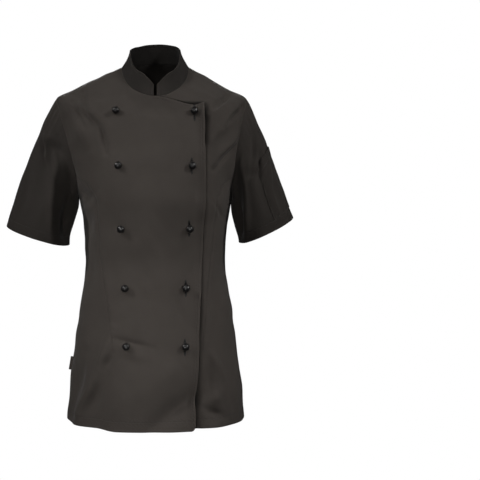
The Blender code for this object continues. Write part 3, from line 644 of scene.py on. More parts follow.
# %% [markdown]
# ## Seams
#
# Where two pieces are sewn together their walls share one direction through the cloth, half way between
# the directions that each would have alone. A sleeve or a collar leaves the body along its own pull, so
# the seam is worked out from the body's edge and that pull, and given back to both pieces. Two pieces that
# only touch would show a gap or cut into each other.
# %% A seam's directions
Seam = namedtuple("Seam", "points through into")


def seam_between(points, out, pull, centre, round_trip):
    """The sewn piece's outward direction is run x pull. The seam's is half way from it to the body's."""
    if round_trip:
        run = np.roll(points, -1, axis=0) - np.roll(points, 1, axis=0)
    else:
        run = np.gradient(points, axis=0)
    sewn_out = unit(np.cross(run, pull))
    sewn_out *= np.sign(np.sum(sewn_out * (points - centre), axis=-1, keepdims=True))
    through = unit(out + sewn_out)
    into = unit(np.cross(through, run))
    into *= np.sign(np.sum(into * pull, axis=-1, keepdims=True))
    return Seam(points, through, into)


# %% Round an armhole
def round_armhole(side, part):
    """The edge from the shoulder tip down the front and up the back."""
    front_edge, back_edge = (-1, 0) if side > 0 else (0, -1)
    down = front[ARMHOLE, front_edge, part][::-1]
    return np.vstack([down, back[ARMHOLE, back_edge, part][1:-1]])


def share_armhole(side, through):
    """Gives a seam's directions back to the edges of the front and the back."""
    front_edge, back_edge = (-1, 0) if side > 0 else (0, -1)
    for grid in (front, outer_front):
        grid[ARMHOLE, front_edge, OUT] = through[: ARMHOLE_ROWS + 1][::-1]
    back[ARMHOLE, back_edge, OUT] = np.vstack([through[ARMHOLE_ROWS:], through[:1]])


print("armhole in mm:", round(lengths_round(round_armhole(1, POINT))[-1]))

# %% Round the neck
RIGHT_NECK, LEFT_NECK = slice(CENTRE, None, -1), slice(None, CENTRE - 1, -1)


def round_neck(front_right, front_left, around):
    """Values from the outer front's end round the right side and the back to the inner front's end."""
    return np.concatenate([front_right[-1, RIGHT_NECK], around[-1, -2:0:-1], front_left[-1, LEFT_NECK]])


def share_neck(through):
    """Gives the neck seam's directions back to the fronts and the back."""
    outer_front[-1, RIGHT_NECK, OUT] = through[: CENTRE + 1]
    front[-1, CENTRE:, OUT] = through[: -CENTRE - 2 : -1]
    for grid in (front, outer_front):
        grid[LAP_TOP_ROW:, CENTRE, OUT] = through[0]  # rows above the lap all start here
    back[-1, :, OUT] = through[CENTRE : CENTRE + BACK_COLUMNS + 1][::-1]


neck_points = round_neck(outer_front[..., POINT], front[..., POINT], back[..., POINT])
print("neck seam in mm:", round(lengths_along(neck_points)[-1]))

# %% [markdown]
# ## Set-in sleeves
#
# A set-in sleeve is a tube sewn into the armhole. It leaves the body's edge outwards, falls, and ends in the
# round of the cuff. A Hermite curve from each point of the armhole to its point on the cuff draws just that,
# with two pulls: one out of the shoulder and one along the sleeve. A tube bent along a curve wouldn't fit
# the armhole. Folds and small puckers at the sleeve's head are added to it, as they were to the body.
# %% Sizes of the sleeves
Sleeve = namedtuple("Sleeve", "name side cuff_outer cuff_inner")
SLEEVES = (
    Sleeve("right_sleeve", -1, (-287.6, -306), (-163, -345)),
    Sleeve("left_sleeve", 1, (268, -290.6), (159, -341)),
)
CUFF_DEPTH = 55  # half the cuff's size from front to back
CUFF_Y = -15  # the cuff's middle
CUFF_TILT = 7  # degrees that the cuff's front edge drops
SLEEVE_ROWS = 90
SLEEVE_PULL = 0.9
PUFF_TOP, PUFF_FACE, PUFF_UNDER = 0.14, 0.16, -0.3  # outward pull at the top line, the faces and below
print("cuff widths in mm:", [round(math.dist(sleeve.cuff_outer, sleeve.cuff_inner)) for sleeve in SLEEVES])

# %% Folds of the sleeves
RIGHT, LEFT, BOTH = (-1,), (1,), (-1, 1)
# On a sleeve, round is degrees from the top line to the front, along is 0 at the armhole and 1 at the cuff.
SleeveFold = namedtuple("SleeveFold", "sides round along round_end along_end width depth")
SLEEVE_FOLDS = (
    SleeveFold(BOTH, 62, 0.10, 74, 0.95, 13, -3.6),
    SleeveFold(BOTH, 40, 0.16, 84, 0.34, 9, -3.0),
    SleeveFold(BOTH, 250, 0.10, 286, 0.55, 13, -3.4),
    SleeveFold(BOTH, 300, 0.25, 250, 0.85, 13, 3.0),
    # The arm's crease, and the hollow beside the body
    SleeveFold(RIGHT, 80, 0.24, 122, 1.10, 8, 6.0),
    SleeveFold(RIGHT, 134, 0.02, 168, 1.10, 34, -26.0),
    SleeveFold(LEFT, 98, 0.12, 138, 1.10, 10, 6.0),
    SleeveFold(LEFT, 136, 0.02, 172, 1.10, 28, -22.0),
    # Small dimples below the cap
    SleeveFold(RIGHT, 33, 0.30, 78, 0.06, 8, 5.0),
    SleeveFold(RIGHT, 40, 0.29, 58, 0.35, 6, -5.0),
    SleeveFold(RIGHT, 56, 0.26, 84, 0.10, 7, -6.0),
    SleeveFold(RIGHT, 54, 0.31, 60, 0.33, 4, 2.6),
    SleeveFold(RIGHT, 44, 0.56, 48, 0.84, 12, -4.0),
    SleeveFold(LEFT, 92, 0.30, 68, 0.44, 5, -3.6),
    SleeveFold(LEFT, 84, 0.26, 62, 0.38, 6, 2.6),
    SleeveFold(LEFT, 52, 0.35, 64, 0.46, 6, -3.4),
    SleeveFold(LEFT, 32, 0.44, 54, 0.66, 5, 2.2),
    SleeveFold(LEFT, 54, 0.62, 54, 0.92, 5, 2.4),
)
SLEEVE_LENGTH = 230  # rough, so that folds are as wide along the sleeve as round it
SLEEVE_CALM = 0.14  # folds start at this share of the sleeve's length
SLEEVE_FOLD_STOP, SLEEVE_FOLD_FADE = 1.25, 0.5
CAP_PUCKER, CAP_PUCKER_LENGTH, CAP_PUCKER_REACH = 0.8, 17, 14
print("folds listed for the sleeves:", len(SLEEVE_FOLDS))


# %% From the armhole's ring to the cuff's
def cuff_ring(sleeve, turn):
    """An ellipse between the cuff's two corners, and the direction along the sleeve there."""
    outer, inner = (np.array([x, CUFF_Y, z], float) for x, z in (sleeve.cuff_outer, sleeve.cuff_inner))
    half = (outer - inner) / 2
    tilt = math.radians(CUFF_TILT)
    forward = np.array([0, -math.cos(tilt), -math.sin(tilt)])
    along = unit(np.cross(half, forward))
    along *= -np.sign(along[2])
    turn = turn[:, None]
    return (outer + inner) / 2 + np.cos(turn) * half + np.sin(turn) * CUFF_DEPTH * forward, along


def sleeve_pulls(sleeve, ring):
    """How the curves leave the armhole and reach the cuff, and where on the cuff they end."""
    turn = np.linspace(0, 2 * math.pi, len(ring), endpoint=False)
    cuff, along = cuff_ring(sleeve, turn)
    reach = np.linalg.norm(cuff - ring, axis=-1, keepdims=True)
    top, under = np.maximum(np.cos(turn), 0) ** 2, np.maximum(-np.cos(turn), 0) ** 2
    puff = PUFF_FACE + (PUFF_TOP - PUFF_FACE) * top + (PUFF_UNDER - PUFF_FACE) * under
    outward = puff[:, None] * np.array([sleeve.side, 0, 0])
    return reach * (SLEEVE_PULL * (cuff - ring) / reach + outward), reach * SLEEVE_PULL * along, cuff


print("the left sleeve leaves along:", sleeve_pulls(SLEEVES[1], round_armhole(1, POINT))[0][0].round())


# %% The relief of a sleeve
def tube_normals(points):
    """Unit vectors out of a tube whose rows are closed rings."""
    across = np.roll(points, -1, axis=1) - np.roll(points, 1, axis=1)
    out = unit(np.cross(across, np.gradient(points, axis=0)))
    return out * np.sign(np.mean(np.sum(out * (points - points.mean(axis=1, keepdims=True)), axis=-1)))


def sleeve_relief(side, turn, along, points, round_length):
    """Listed folds, the crumple, and small puckers where the cap is eased into the armhole."""
    place = np.stack(np.broadcast_arrays(turn, along * SLEEVE_LENGTH), axis=-1)
    height = np.zeros(place.shape[:-1])
    for fold in (fold for fold in SLEEVE_FOLDS if side in fold.sides):
        start = np.array([fold.round, fold.along * SLEEVE_LENGTH])
        end = np.array([fold.round_end, fold.along_end * SLEEVE_LENGTH])
        height += fold_height(place, Fold(FRONT, start, end, fold.width, fold.depth))
    height *= smooth(along / SLEEVE_CALM) * smooth((SLEEVE_FOLD_STOP - along) / SLEEVE_FOLD_FADE)
    cap = np.maximum(np.cos(np.radians(turn)), 0)
    run = along * SLEEVE_LENGTH / CAP_PUCKER_REACH
    puckers = np.sin(2 * math.pi * round_length / CAP_PUCKER_LENGTH) * run * np.exp(1 - run)
    return height + CAP_PUCKER * cap * puckers + crumple(points) * smooth(along / SLEEVE_CALM)


armhole_length = lengths_round(round_armhole(1, POINT))[-1]
print("puckers that would fit round an armhole:", round(armhole_length / CAP_PUCKER_LENGTH))


# %% The sleeves' grids
def sleeve_grid(sleeve):
    """Rings by Hermite curves from the armhole to the cuff, moved out by the relief."""
    ring = round_armhole(sleeve.side, POINT)
    pull, cuff_pull, cuff = sleeve_pulls(sleeve, ring)
    seam = seam_between(ring, round_armhole(sleeve.side, OUT), pull, ring.mean(axis=0), True)
    share_armhole(sleeve.side, seam.through)
    along = np.linspace(0, 1, SLEEVE_ROWS + 1)[:, None]
    points = hermite(ring, pull, cuff, cuff_pull, along[..., None])
    turn = np.linspace(0, 360, len(ring), endpoint=False)
    height = sleeve_relief(sleeve.side, turn, along, points, lengths_round(ring))
    points = points + height[..., None] * tube_normals(points)
    out = tube_normals(points)
    out[0] = seam.through
    grid = new_grid(points, out)
    return np.concatenate([grid, closing_column(grid)], axis=1)


def closing_column(grid):
    """The first column again, whose place on the flat cloth is at the end of the rows."""
    last, first = grid[:, -1:], grid[:, :1].copy()
    step = np.linalg.norm(first[..., POINT] - last[..., POINT], axis=-1)
    first[..., ACROSS] = last[..., ACROSS] + step
    return first


sleeve_grids = {sleeve.name: sleeve_grid(sleeve) for sleeve in SLEEVES}
print("sleeve grid:", sleeve_grids["left_sleeve"].shape[:2])

# %% [markdown]
# ## The collar
#
# A stand collar is a band that rises from the neck seam and leans in to follow the neck, more at the sides
# than at the front and back. Its ends stop short of the centre front and curve up to full height. A strip
# bent along a curve would leave the seam somewhere, so each point starts at a point of the seam and is
# raised and moved in from there.
# %% Sizes of the collar
COLLAR_CLOTH = 2.2
COLLAR_ROWS = 24
COLLAR_HEIGHT, COLLAR_SIDE_HEIGHT = 40, 37.5
COLLAR_END_HEIGHT = 22
COLLAR_END_RUN = 34  # from the collar's end to its full height
COLLAR_END_GAP = 3  # from the centre front to each end
COLLAR_LEAN_FRONT, COLLAR_LEAN_SIDE, COLLAR_LEAN_BACK = 0.16, 0.42, 0.14
COLLAR_BEND = 1.6  # 1 is a straight lean, and more leans sooner above the neck seam
COLLAR_CRUMPLE = 0.5  # of the body's, because a collar is stiffened
COLLAR_CRUMPLE_RISE = 3  # it is full from a third of the height
UP = np.array([0, 0, 1.0])


def collar_lean(angle):
    """The lean inwards as a share of the height: a sine squared from the front and back to the sides."""
    plain = np.where(np.cos(np.radians(angle)) > 0, COLLAR_LEAN_FRONT, COLLAR_LEAN_BACK)
    return mix(plain, COLLAR_LEAN_SIDE, np.sin(np.radians(angle)) ** 2)


print("lean at the front, side and back:", collar_lean(np.array([0, 90, 180])))


# %% The collar's grid
def neck_seam():
    """The seam from the centre front round the right side, the back and the left side to it again."""
    points = round_neck(outer_front[..., POINT], front[..., POINT], back[..., POINT])
    out = round_neck(front[..., OUT], front[..., OUT], back[..., OUT])
    middle = np.array([0, 0, points[:, 2].mean()])
    return seam_between(points, out, UP, middle, False)


def collar_grid():
    """Each point is its place on the neck seam, plus a share of the height up and of the lean inwards."""
    seam = neck_seam()
    share_neck(seam.through)
    angle = round_neck(front_angle, front_angle, back_angle)
    angle = np.degrees(np.unwrap(np.radians(angle)))
    length = lengths_along(seam.points)
    trimmed = mix(COLLAR_END_GAP, length[-1] - COLLAR_END_GAP, length / length[-1])
    known = np.column_stack([seam.points, seam.through, angle])
    known = np.stack([np.interp(trimmed, length, column) for column in known.T], axis=-1)
    base, through, angle = known[:, POINT], unit(known[:, OUT]), known[:, -1]

    run = trimmed - trimmed[0]
    from_end = np.clip(np.minimum(run, run[-1] - run) / COLLAR_END_RUN, 0, 1)
    full_height = mix(COLLAR_HEIGHT, COLLAR_SIDE_HEIGHT, np.sin(np.radians(angle)) ** 2)
    height = mix(COLLAR_END_HEIGHT, full_height, 1 - (1 - from_end) ** 2)[:, None]
    lean = collar_lean(angle)[:, None]
    inward = -unit(base * [1, 1, 0])
    share = np.linspace(0, 1, COLLAR_ROWS + 1)[:, None, None]
    lean_in = lean * (1 - (1 - share) ** COLLAR_BEND)
    points = base + height * (share * np.sqrt(1 - lean**2) * UP + lean_in * inward)
    out = unit(np.cross(np.gradient(points, axis=1), np.gradient(points, axis=0)))
    out *= np.sign(np.mean(np.sum(out * points * [1, 1, 0], axis=-1)))
    height = COLLAR_CRUMPLE * crumple(points) * smooth(share[..., 0] * COLLAR_CRUMPLE_RISE)
    points = points + height[..., None] * out
    out[0] = through
    return new_grid(points, out, len(run) // 2)


collar = collar_grid()
print("collar grid:", collar.shape[:2], "length in mm:", round(np.ptp(collar[0, :, ACROSS])))

# %% [markdown]
# ## Cloth with round edges
#
# Every edge of a real jacket is turned in and pressed, so it is round. A panel is made as two walls, which
# meet in a half circle along every edge. Sewn panels share the points of their edges, so two half circles
# meet in a small valley, which is the seam. A single wall would show a razor edge at the cuffs, and a plain
# solidified wall would show a square one. Columns and rows are added close to each edge to draw the curve.
# %% Lines beside an edge
EDGE_LINES = (0.08, 0.3, 0.75)  # how far the added columns and rows are from the edge


def add_columns(grid, kept, place, side):
    """Adds columns at EDGE_LINES from the column at place, on its side that the cloth is on."""
    near, far = grid[:, place], grid[:, place + side]
    width = np.maximum(np.linalg.norm(far[:, POINT] - near[:, POINT], axis=-1), 1e-6)
    most = np.arange(1, len(EDGE_LINES) + 1) / (len(EDGE_LINES) + 1)
    shares = [np.minimum(line / width, share)[:, None] for line, share in zip(EDGE_LINES, most)]
    added = np.stack([mix(near, far, share) for share in shares][::side], axis=1)
    added[..., OUT] = unit(added[..., OUT])
    cell = place if side > 0 else place - 1
    repeats = np.ones(kept.shape[1], int)
    repeats[cell] += len(EDGE_LINES)
    grid = np.concatenate([grid[:, : cell + 1], added, grid[:, cell + 1 :]], axis=1)
    return grid, np.repeat(kept, repeats, axis=1)


def with_edge_lines(grid, kept, columns, rows):
    """Columns and rows are (place, side) of each edge, last ones first, so that places stay true."""
    for place, side in columns:
        grid, kept = add_columns(grid, kept, place, side)
    grid, kept = grid.swapaxes(0, 1), kept.T
    for place, side in rows:
        grid, kept = add_columns(grid, kept, place, side)
    return grid.swapaxes(0, 1), kept.T


def all_kept(grid):
    return np.ones((grid.shape[0] - 1, grid.shape[1] - 1), bool)


def all_edges(grid):
    """A whole grid with lines beside its four edges, and its kept cells."""
    columns, rows = [(grid.shape[1] - 1, -1), (0, 1)], [(grid.shape[0] - 1, -1), (0, 1)]
    return with_edge_lines(grid, all_kept(grid), columns, rows)


print("a whole back grid with lines beside its edges:", all_edges(back)[0].shape[:2])


# %% Distances from the edges
def from_edges(grid, kept):
    """How far each point is along the cloth from the left, right, lower and upper edge of the kept cells."""
    touched = np.pad(kept, 1)
    touched = touched[1:, 1:] | touched[:-1, 1:] | touched[1:, :-1] | touched[:-1, :-1]
    last_column = touched.shape[1] - 1 - np.argmax(touched[:, ::-1], axis=1)
    last_row = touched.shape[0] - 1 - np.argmax(touched[::-1], axis=0)
    across, up = grid[..., ACROSS], grid[..., ALONG]
    right = np.take_along_axis(across, last_column[:, None], 1) - across
    top = np.take_along_axis(up, last_row[None], 0) - up
    return np.abs([across - across[:, :1], right, up - up[:1], top])


print("the back's width at the hem in mm:", round(from_edges(back, all_kept(back))[1, 0, 0]))

# %% A mesh from points and triangles
SAME_POINT = 4  # decimals of a millimetre to which joined points agree


def cell_triangles(kept):
    """Two triangles for each kept cell of a grid, as numbers of its points."""
    index = np.arange((kept.shape[0] + 1) * (kept.shape[1] + 1)).reshape(kept.shape[0] + 1, -1)
    near, right = index[:-1, :-1][kept], index[:-1, 1:][kept]
    above, far = index[1:, :-1][kept], index[1:, 1:][kept]
    return np.concatenate([np.stack([near, right, far], 1), np.stack([near, far, above], 1)])


def new_piece(name, points, faces, places, marks=()):
    """A mesh piece whose equal points are one, with places on the flat cloth as its UV map, in metres."""
    used, numbers = np.unique(faces, return_inverse=True)
    faces, points, places = numbers.reshape(faces.shape), points[used], places[used]
    marks = {key: values[used] for key, values in dict(marks).items()}
    _, first, joined = np.unique(np.round(points, SAME_POINT), axis=0, return_index=True, return_inverse=True)
    corners = joined.reshape(-1)[faces]
    whole = (corners != np.roll(corners, 1, axis=1)).all(axis=1)  # joining flattens some triangles
    mesh = bpy.data.meshes.new(name)
    mesh.from_pydata(points[first] * MM, [], corners[whole].tolist())
    layer = mesh.uv_layers.new(name="cloth")
    layer.data.foreach_set("uv", (places[faces[whole]] * MM).ravel())
    for key, values in marks.items():
        mark = mesh.attributes.new(key, "FLOAT", "POINT")
        mark.data.foreach_set("value", values[first])
    mesh.shade_smooth()
    piece = bpy.data.objects.new(name, mesh)
    bpy.context.scene.collection.objects.link(piece)
    return piece


print("triangles of a whole back grid:", len(cell_triangles(all_kept(back))))

# %% Two walls that meet in a round edge
FAR = 1e6  # stands for no stitches, hem, seam or crevice
HEM_WIDTH, HEM_PLY, HEM_STEP = 20, 0.6, 2  # a turned hem thickens the inner wall by its ply, over a step


def shell(name, grid, kept, thickness, stitched=FAR, hem=FAR, seam=FAR, crevice=FAR, around=False):
    """Two walls over the kept cells. Each is half the thickness x sqrt(1 - (1 - d)^2) from the middle, where
    d goes from 0 at an edge to 1 at half the thickness from it. The distances from the rim, the rows of
    stitches, the hem, the shaping seams and the lap's crevice become attributes for the materials."""
    nearest = from_edges(grid, kept)[2 if around else 0 :].min(axis=0)
    half = thickness / 2
    bulge = half * np.sqrt(1 - (1 - np.clip(nearest / half, 0, 1)) ** 2)
    band = HEM_PLY * smooth((HEM_WIDTH - hem) / HEM_STEP) * np.clip(nearest / HEM_STEP, 0, 1)
    middle = grid[..., POINT] - half * grid[..., OUT]
    walls = [middle + bulge[..., None] * grid[..., OUT], middle - (bulge + band)[..., None] * grid[..., OUT]]
    points = np.concatenate([wall.reshape(-1, 3) for wall in walls])
    faces = cell_triangles(kept)
    one, two, three = (points[faces[:, k]] for k in range(3))
    facing = np.cross(two - one, three - one) * grid[..., OUT].reshape(-1, 3)[faces[:, 0]]
    if facing.sum() < 0:
        faces = faces[:, ::-1]
    faces = np.concatenate([faces, faces[:, ::-1] + len(points) // 2])
    # crevice feeds a painted shade beside the lap's edge and top
    marks = {"rim": nearest, "stitched": stitched, "hem": hem, "seam": seam, "crevice": crevice}
    marks = {key: np.tile(np.broadcast_to(value, nearest.shape).ravel(), 2) for key, value in marks.items()}
    # the reverse wall is darker, partly as a painted shade on the insides
    marks["reverse"] = np.repeat([0.0, 1.0], len(points) // 2)
    return new_piece(name, points, faces, np.tile(grid[..., FLAT].reshape(-1, 2), (2, 1)), marks)


def cut_size(grid, kept):
    """Width, length and area of the flat cloth in metres: the longest row and column, and all cells."""
    faces = cell_triangles(kept)
    one, two, three = (grid[..., POINT].reshape(-1, 3)[faces[:, k]] for k in range(3))
    area = np.linalg.norm(np.cross(two - one, three - one), axis=-1).sum() / 2 * MM**2
    left, right, bottom, top = from_edges(grid, kept)
    return (left + right).max() * MM, (bottom + top).max() * MM, area


print("the back's cut in metres:", np.round(cut_size(back, all_kept(back)), 3))

# %% [markdown]
# ## Stitches
#
# A row of stitches is real geometry, a small thread lozenge every few millimetres, because from nearby a
# painted line looks like print. Each row follows the place where the cloth is a set distance from its edge.
# %% One stitch
STITCH_STEP, STITCH_HALF_LENGTH = 3.1, 1.25
STITCH_HALF_WIDTH, STITCH_HALF_HEIGHT = 0.26, 0.2
STITCH_SIDES, STITCH_SHOULDER = 6, 0.62  # the thread is full thick up to this share of its half length


def stitch_form():
    """One stitch round the X axis: a point, two rings and a point, and its triangles."""
    turn = np.linspace(0, 2 * math.pi, STITCH_SIDES, endpoint=False)
    ring = np.column_stack([0 * turn, STITCH_HALF_WIDTH * np.cos(turn), STITCH_HALF_HEIGHT * np.sin(turn)])
    end = np.array([STITCH_HALF_LENGTH, 0, 0])
    points = np.vstack([-end, ring - STITCH_SHOULDER * end, ring + STITCH_SHOULDER * end, end])
    faces = []
    for k in range(STITCH_SIDES):
        a, b = 1 + k, 1 + (k + 1) % STITCH_SIDES
        c, d = a + STITCH_SIDES, b + STITCH_SIDES
        faces += [(0, b, a), (a, b, d), (a, d, c), (c, d, len(points) - 1)]
    return points, np.array(faces)


form_points, form_faces = stitch_form()
print("triangles of a stitch:", len(form_faces))

# %% Rows of stitches
STITCH_SUNK = 0.05
AHEAD = 0.5  # a stitch points at the place this far ahead on its line


def line_beside(grid, distance, reach):
    """The point and outward direction at which each row, which starts at an edge, is this far from it."""
    rows = np.arange(len(grid))
    far = np.maximum(np.argmax(distance >= reach, axis=1), 1)
    before, after = distance[rows, far - 1], distance[rows, far]
    share = (reach - before) / np.maximum(after - before, 1e-9)
    return mix(grid[rows, far - 1], grid[rows, far], share[:, None])[:, SURFACE]


def side_line(grid, reach):
    """The line at this distance from the grid's first column."""
    return line_beside(grid, across_from_edge(grid, 0), reach)


def hem_line(grid, reach):
    """The line at this distance from the grid's first row."""
    turned = grid.swapaxes(0, 1)
    return line_beside(turned, np.abs(turned[..., ALONG] - turned[:, :1, ALONG]), reach)


def stitch_rows(name, lines):
    """One piece of every stitch on these lines, whose rows hold a point and its outward direction."""
    placed = []
    for line in lines:
        length = lengths_along(line[:, POINT])
        at = np.arange(STITCH_STEP, length[-1] - STITCH_STEP, STITCH_STEP)
        middle, ahead = (
            np.stack([np.interp(at + step, length, column) for column in line.T], -1) for step in (0, AHEAD)
        )
        along = unit(ahead[:, POINT] - middle[:, POINT])
        sideways = unit(np.cross(middle[:, OUT], along))
        upward = np.cross(along, sideways)
        centre = middle[:, POINT] - STITCH_SUNK * upward
        axes = np.stack([along, sideways, upward], 1)
        placed.append(centre[:, None] + form_points @ axes)
    placed = np.concatenate(placed)
    faces = form_faces + np.arange(len(placed))[:, None, None] * len(form_points)
    points = placed.reshape(-1, 3)
    print(name, len(placed), "stitches")
    return new_piece(name, points, faces.reshape(-1, 3), points[:, [0, 2]])


print("a line 18 mm from the back's hem has", len(hem_line(back, 18)), "points")

# %% [markdown]
# ## The fronts and the back
#
# Both fronts are cut from the same grid: their own half, and the lap up to its edge. The part above the
# lap's top edge is a fan of rows that starts at the neck's centre front.
#
# Where the lap's edge lies on the under front, a jacket shows a thin dark line. The under front sinks there,
# and each of its points keeps its distance from that line, so that its material carries a painted shade close
# to it.
# Light alone would have to come from one small lamp to draw a line as thin as that.
# %% The lap's corner and the under front's dip
LAP_CORNER = 9  # radius at the lap's lower corner
UNDER_DIP, UNDER_DIP_WIDTH = 8.0, 8  # the under front sinks beside the lap's edge
TOP_DIP, TOP_DIP_WIDTH = 5.0, 4.6  # the same along the lap's top edge
TOP_DIP_FADE = 3  # columns over which it fades out
LAP_RISE = 6  # on the sloping chest, the lap's top edge covers this much of the under front


def round_corner(grid):
    """Presses squares into a quarter circle at the lap's corner: u sqrt(1 - v^2 / 2), and the same for v."""
    from_edge = across_from_edge(grid, LAP_EDGE)
    u, v = (np.clip(1 - distance / LAP_CORNER, 0, 1) for distance in (from_edge, grid[..., ALONG]))
    across = unit(grid[0, LAP_EDGE, POINT] - grid[0, LAP_EDGE - 2, POINT])
    down = unit(grid[0, LAP_EDGE, POINT] - grid[2, LAP_EDGE, POINT])
    pressed = u * (np.sqrt(1 - v**2 / 2) - 1), v * (np.sqrt(1 - u**2 / 2) - 1)
    inside = (from_edge < LAP_CORNER) & (grid[..., ALONG] < LAP_CORNER)
    for shift, way in zip(pressed, (across, down)):
        grid[..., POINT] += LAP_CORNER * (shift * inside)[..., None] * way


def dip_beside_lap(grid):
    """Lowers the under front along the lines of the lap's edge and top. Returns how far it is from them."""
    from_edge = across_from_edge(grid, LAP_EDGE)
    above = grid[..., ALONG] - grid[LAP_TOP_ROW, :, ALONG] - LAP_RISE
    dip = UNDER_DIP * bell_curve(from_edge, UNDER_DIP_WIDTH) * smooth(-above / STAND_FADE)
    column = np.arange(grid.shape[1]) - CENTRE
    over_lap = smooth(column / TOP_DIP_FADE) * smooth((LAP_COLUMNS + 1 - column) / TOP_DIP_FADE)
    over_lap = over_lap * smooth((grid[-1, :, ALONG] - grid[..., ALONG]) / STAND_FADE)
    dip += TOP_DIP * bell_curve(above, TOP_DIP_WIDTH) * over_lap
    grid[..., POINT] -= dip[..., None] * grid[..., OUT]
    beside_top = np.where((column >= 0) & (column <= LAP_COLUMNS), 0, FAR)
    return np.minimum(np.hypot(from_edge, np.maximum(above, 0)), np.hypot(above, beside_top))


round_corner(outer_front)
crevice = dip_beside_lap(front)
print("points of the under front within 5 mm of the lap's edge:", (crevice < 5).sum())

# %% Cut the panels out of the grids
LAP_STITCH, HEM_STITCH = 6, 18  # rows of stitches are this far from the lap's edges and from the hem
Panel = namedtuple("Panel", "grid kept stitched hem crevice cut")


def front_panel(grid, crevice):
    """The panel of a grid whose columns run from the side seam over the centre front to the lap's edge."""
    kept = all_kept(grid[:, : LAP_EDGE + 1])
    kept[LAP_TOP_ROW:, CENTRE:] = False
    cut = cut_size(grid[:, : LAP_EDGE + 1], kept)
    beside = np.minimum(grid[..., ACROSS] * np.sign(grid[0, -1, ACROSS]), 0)
    from_lap_top = np.hypot(grid[..., ALONG] - grid[LAP_TOP_ROW, :, ALONG], beside)
    from_lap = np.minimum(across_from_edge(grid, LAP_EDGE), from_lap_top)
    distances = np.stack([from_lap, grid[..., ALONG], crevice], -1)
    grid = np.concatenate([grid, distances], axis=-1)[:, : LAP_EDGE + 1]
    rows = [(len(grid) - 1, -1), (LAP_TOP_ROW, -1), (0, 1)]
    grid, kept = with_edge_lines(grid, kept, [(LAP_EDGE, -1), (0, 1)], rows)
    return Panel(grid, kept, *np.moveaxis(grid[..., SEAM + 1 :], -1, 0), cut)


back_lined, back_kept = all_edges(back)
panels = {
    "right_front": front_panel(outer_front, np.full_like(crevice, FAR)),
    "left_front": front_panel(front[:, ::-1], crevice[:, ::-1]),
    "back": Panel(back_lined, back_kept, FAR, back_lined[..., ALONG], FAR, cut_size(back, all_kept(back))),
}
print("cells of each panel:", {name: int(panel.kept.sum()) for name, panel in panels.items()})

# %% Give the panels their walls
pieces = {}
for name, panel in panels.items():
    marks = (panel.stitched, panel.hem, panel.grid[..., SEAM], panel.crevice)
    pieces[name] = shell(name + "_cloth", panel.grid, panel.kept, CLOTH, *marks)
    print(name, "triangles:", len(pieces[name].data.polygons), "cut:", np.round(panel.cut, 3))

# %% Give the sleeves and the collar their walls
sleeve_cuts = {}
for name, grid in sleeve_grids.items():
    kept = all_kept(grid)
    sleeve_cuts[name] = cut_size(grid, kept)
    lined, kept = with_edge_lines(grid, kept, [], [(SLEEVE_ROWS, -1), (0, 1)])
    from_cuff = from_edges(lined, kept)[3]
    pieces[name] = shell(name + "_cloth", lined, kept, CLOTH, FAR, from_cuff, around=True)
    print(name, "triangles:", len(pieces[name].data.polygons), "cut:", np.round(sleeve_cuts[name], 3))

collar_cut = cut_size(collar, all_kept(collar))
collar_lined = all_edges(collar)
collar_free = from_edges(*collar_lined)[[0, 1, 3]].min(axis=0)  # from its ends and its top
pieces["collar"] = shell("collar_cloth", *collar_lined, COLLAR_CLOTH, collar_free)
print("collar triangles:", len(pieces["collar"].data.polygons), "cut:", np.round(collar_cut, 3))

# %% [markdown]
# ## The pen pocket and the side tab
#
# The patch pocket on the wearer's left sleeve is a piece of the sleeve's own grid moved out, so it bends
# with the sleeve, where a flat patch would cut into its folds. Its sides and bottom are sewn down, and its
# hemmed top stands a little open for a pen. The tab in the side seam is a short tape, folded in two, so its
# profile is drawn once and carried down the seam.
# %% The pocket
POCKET_ROWS, POCKET_COLUMNS = slice(36, 82), slice(0, 29)  # of the sleeve's grid
POCKET_CLOTH, POCKET_CLEARANCE = 1.0, 0.1
POCKET_OPEN, POCKET_OPEN_DEPTH, POCKET_OPEN_SIDE = 2.4, 34, 16
POCKET_HEM = 15
POCKET_STITCH, POCKET_DIVIDE = 2.5, 0.42  # a row of stitches divides the pocket at this share of its width


def pocket_grid(sleeve):
    """Part of the sleeve's grid, moved out by its clearance, its cloth and the opening at its top."""
    grid = sleeve[POCKET_ROWS, POCKET_COLUMNS].copy()
    left, right, top, _ = from_edges(grid, all_kept(grid))
    opening = (1 - smooth(top / POCKET_OPEN_DEPTH)) * smooth(np.minimum(left, right) / POCKET_OPEN_SIDE)
    lift = POCKET_CLEARANCE + POCKET_CLOTH + POCKET_OPEN * opening
    grid[..., POINT] += lift[..., None] * grid[..., OUT]
    return grid


pocket = pocket_grid(sleeve_grids["left_sleeve"])
pocket_cut = cut_size(pocket, all_kept(pocket))
pocket_lined = all_edges(pocket)
pocket_distances = from_edges(*pocket_lined)
sewn_down = pocket_distances[[0, 1, 3]].min(axis=0) + LAP_STITCH - POCKET_STITCH
pieces["pen_pocket"] = shell("pen_pocket_cloth", *pocket_lined, POCKET_CLOTH, sewn_down, pocket_distances[2])
print("pocket cut:", np.round(pocket_cut, 3))

# %% The tab
TAB_TOP_Z, TAB_BOTTOM_Z = -562, -588
TAB_REACH, TAB_CLOTH, TAB_GAP = 5.0, 0.45, 0.15
TAB_ROWS, TAB_COLUMNS, TAB_SIDE = 8, 14, 3  # of the columns, so many are on each of its two flat sides


